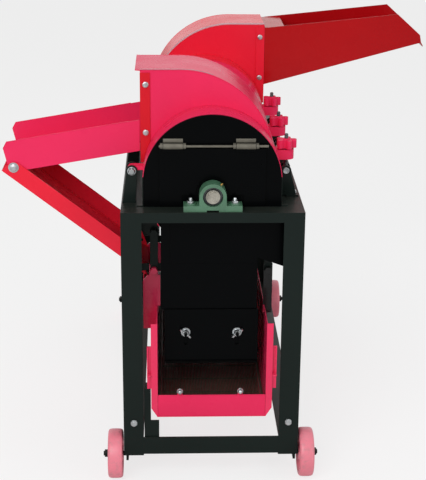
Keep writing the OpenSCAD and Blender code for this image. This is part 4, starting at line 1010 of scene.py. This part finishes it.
class THRESHER_OT_flap_hinge(Step, bpy.types.Operator):
    """Makes the end flap's hinge: rod, leaves and knuckles"""

    bl_idname = "thresher.flap_hinge"
    bl_label = "Flap hinge"

    def execute(self, context):
        y, z = FLAP_HINGE_Y, FLAP_HINGE_Z
        rod = turned([(2.2, -128), (3, -127.2), (3, 131.2), (2.2, 132)], 20)
        rod.matrix_world = Matrix.Translation(at(0, y, z)) @ ALONG_X
        leaves = [freeze(rod)]
        for x0, x1 in FLAP_KNUCKLES:
            for a in (x0 - 7, x1 + 1):
                ear = drum_shape(6, 6)
                ear.matrix_world = Matrix.Translation(at(a + 3, y, z)) @ ALONG_X
                tail = block((a, y - 1, z), (a + 6, 50, z + 6))
                tail.location = at(0, 0, 0)
                leaves.append(round_edges(fuse(freeze(ear), [freeze(tail)]), 0.7))
            leaf = block((x0, 47, z + 7.5), (x1, 49.8, z + 17))
            leaf.location = at(0, 0, 0)
            leaves.append(round_edges(freeze(leaf), 0.8))
        piece = settle(join(leaves), "flap_hinge_leaves", "stand", FINISHES["dusty"])
        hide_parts("flap_hinge_rod")
        knuckles = []
        for x0, x1 in FLAP_KNUCKLES:
            steps = [(3.8, x0), (6.2, x0), (6.9, x0 + 0.7), (6.9, x1 - 0.7), (6.2, x1), (3.8, x1)]
            sleeve = turned(steps, 32, True)
            sleeve.matrix_world = Matrix.Translation(at(0, y, z)) @ ALONG_X
            knuckles.append(freeze(sleeve))
        settle(join(knuckles), "flap_knuckles", "flap", FINISHES["dusty"])
        return {"FINISHED"}


class THRESHER_OT_screen(Step, bpy.types.Operator):
    """Welds the sieve's screen from long wires over cross bars"""

    bl_idname = "thresher.screen"
    bl_label = "Sieve screen"

    def execute(self, context):
        wire = self.sizes.screen_wire / MM
        pitch = self.sizes.screen_pitch / MM
        half = 133.3
        y0, y1, top = -6.8, 937.8, 213
        rim = 6
        gaps = 12
        count = int(2 * (half - rim) / pitch)
        pieces = []
        master = start(
            "cylinder", vertices=8, radius=wire / 2 * MM, depth=(y1 - y0 - 4) * MM, end_fill_type="TRIFAN"
        )
        for i in range(count + 1):
            x = (i - count / 2) * pitch
            pieces.append(copy_to(master, at(x, (y0 + y1) / 2, top - wire / 2), TOWARDS_NEAR))
        bpy.data.objects.remove(master)
        bar = round_edges(block((-half + 1, -3, -2), (half - 1, 3, 0)), 0.5, 1)
        for i in range(gaps + 1):
            pieces.append(copy_to(bar, at(0, y0 + rim / 2 + i * (y1 - y0 - rim) / gaps, top - wire + 0.4)))
        bpy.data.objects.remove(bar)
        for low_corner, high_corner in (
            ((-half, y0, top - 4), (-half + rim, y1, top)), ((half - rim, y0, top - 4), (half, y1, top)),
            ((-half, y0, top - 4), (half, y0 + rim, top)), ((-half, y1 - rim, top - 4), (half, y1, top)),
        ):
            strip = block(low_corner, high_corner)
            strip.location = at(0, 0, 0)
            pieces.append(round_edges(freeze(strip), 0.5, 1))
        piece = settle(join(pieces), "wire_screen", "sieve", FINISHES["screen"], 40)
        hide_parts("sieve_screen")
        return {"FINISHED"}


class THRESHER_OT_stage(Step, bpy.types.Operator):
    """Builds the floor, the light and the camera"""

    bl_idname = "thresher.stage"
    bl_label = "Stage"

    def execute(self, context):
        stage = context.scene.thresher_stage
        bpy.ops.object.select_all(action="DESELECT")
        bpy.ops.mesh.primitive_plane_add(size=FLOOR_SIZE, location=(0, 0, 0))
        floor = context.object
        floor.name = "floor"
        material, tree, output = new_material("pale studio floor")
        shader = add(tree, "ShaderNodeBsdfDiffuse", Color=(*stage.floor_colour, 1))
        glow = add(tree, "ShaderNodeEmission", Color=(1, 1, 1, 1), Strength=1.0)
        seen = add(tree, "ShaderNodeLightPath")
        pale = add(tree, "ShaderNodeMixShader", i0=FLOOR_GLOW, i1=shader.outputs[0], i2=glow.outputs[0])
        chosen = add(
            tree, "ShaderNodeMixShader", i0=seen.outputs["Is Camera Ray"], i1=shader.outputs[0],
            i2=pale.outputs[0],
        )
        tree.links.new(chosen.outputs[0], output.inputs["Surface"])
        paint(floor, material)
        self.light(context)
        self.camera(context, stage)
        return {"FINISHED"}

    def light(self, context):
        """A pale room: what the eye and the gloss see is white, and what lights is softer."""
        world = bpy.data.worlds.new("studio")
        world.use_nodes = True
        tree = world.node_tree
        seen = add(tree, "ShaderNodeLightPath")
        shown = add(
            tree, "ShaderNodeMath", {"operation": "MAXIMUM"},
            i0=seen.outputs["Is Camera Ray"], i1=seen.outputs["Is Glossy Ray"],
        )
        strength = add(
            tree, "ShaderNodeMapRange", Value=shown.outputs[0], From_Min=0.0, From_Max=1.0,
            To_Min=ROOM_LIGHT, To_Max=1.0,
        )
        background = tree.nodes["Background"]
        background.inputs["Color"].default_value = (1, 1, 1, 1)
        tree.links.new(strength.outputs["Result"], background.inputs["Strength"])
        context.scene.world = world
        for name, place, size, power in (
            ("key", (-1.4, -3.4, 2.6), 2.2, 70),
            ("fill", (2.8, -2.4, 1.6), 2.4, 20),
            ("top", (0.0, 0.4, 3.6), 2.6, 16),
        ):
            lamp = bpy.data.lights.new(name, "AREA")
            lamp.size = size
            lamp.energy = power
            holder = bpy.data.objects.new(name, lamp)
            holder.location = place
            holder.rotation_euler = (Vector((0, 0, 0.5)) - Vector(place)).to_track_quat("-Z", "Y").to_euler()
            context.scene.collection.objects.link(holder)

    def camera(self, context, stage):
        """The camera of the photograph's view."""
        pitch, yaw, roll = stage.view_pitch, stage.view_yaw, stage.view_roll
        forward = Vector((math.sin(yaw) * math.cos(pitch), math.cos(yaw) * math.cos(pitch), -math.sin(pitch)))
        level = Vector((math.cos(yaw), -math.sin(yaw), 0))
        fall = forward.cross(level)
        right = math.cos(roll) * level + math.sin(roll) * fall
        down = -math.sin(roll) * level + math.cos(roll) * fall
        data = bpy.data.cameras.new("camera")
        camera = bpy.data.objects.new("camera", data)
        data.sensor_width = 36
        data.sensor_fit = "AUTO"
        data.lens = stage.focal_points / PICTURE_HEIGHT * data.sensor_width
        data.clip_end = 100
        place = at(0, 0, 0)
        place += Vector((-stage.view_side, -stage.view_back, stage.view_height))
        turn = Matrix((right, -down, -forward)).transposed().to_4x4()
        camera.matrix_world = Matrix.Translation(place) @ turn
        context.scene.collection.objects.link(camera)
        context.scene.camera = camera
        context.scene.view_settings.view_transform = "Standard"


class THRESHER_PT_panel(bpy.types.Panel):
    """Lists the steps in the sidebar"""

    bl_label = "Thresher"
    bl_idname = "THRESHER_PT_panel"
    bl_space_type = "VIEW_3D"
    bl_region_type = "UI"
    bl_category = "Thresher"

    def draw(self, context):
        for step in STEPS:
            self.layout.operator(step.bl_idname)


STEPS = (
    THRESHER_OT_finishes, THRESHER_OT_bearings, THRESHER_OT_fasteners, THRESHER_OT_knobs,
    THRESHER_OT_wing_nuts, THRESHER_OT_wheels, THRESHER_OT_hems, THRESHER_OT_chute_bolts,
    THRESHER_OT_end_gate, THRESHER_OT_flap_hinge, THRESHER_OT_screen, THRESHER_OT_stage,
)
GROUPS = (
    ("thresher_paints", ThresherPaints), ("thresher_fittings", ThresherFittings),
    ("thresher_stage", ThresherStage),
)


def register():
    for name, group in GROUPS:
        bpy.utils.register_class(group)
        setattr(bpy.types.Scene, name, PointerProperty(type=group))
    for step in STEPS:
        bpy.utils.register_class(step)
    bpy.utils.register_class(THRESHER_PT_panel)


def unregister():
    bpy.utils.unregister_class(THRESHER_PT_panel)
    for step in reversed(STEPS):
        bpy.utils.unregister_class(step)
    for name, group in reversed(GROUPS):
        delattr(bpy.types.Scene, name)
        bpy.utils.unregister_class(group)


def main():
    register()
    for step in STEPS:
        module, name = step.bl_idname.split(".")
        getattr(getattr(bpy.ops, module), name)()


if __name__ == "__main__":
    main()
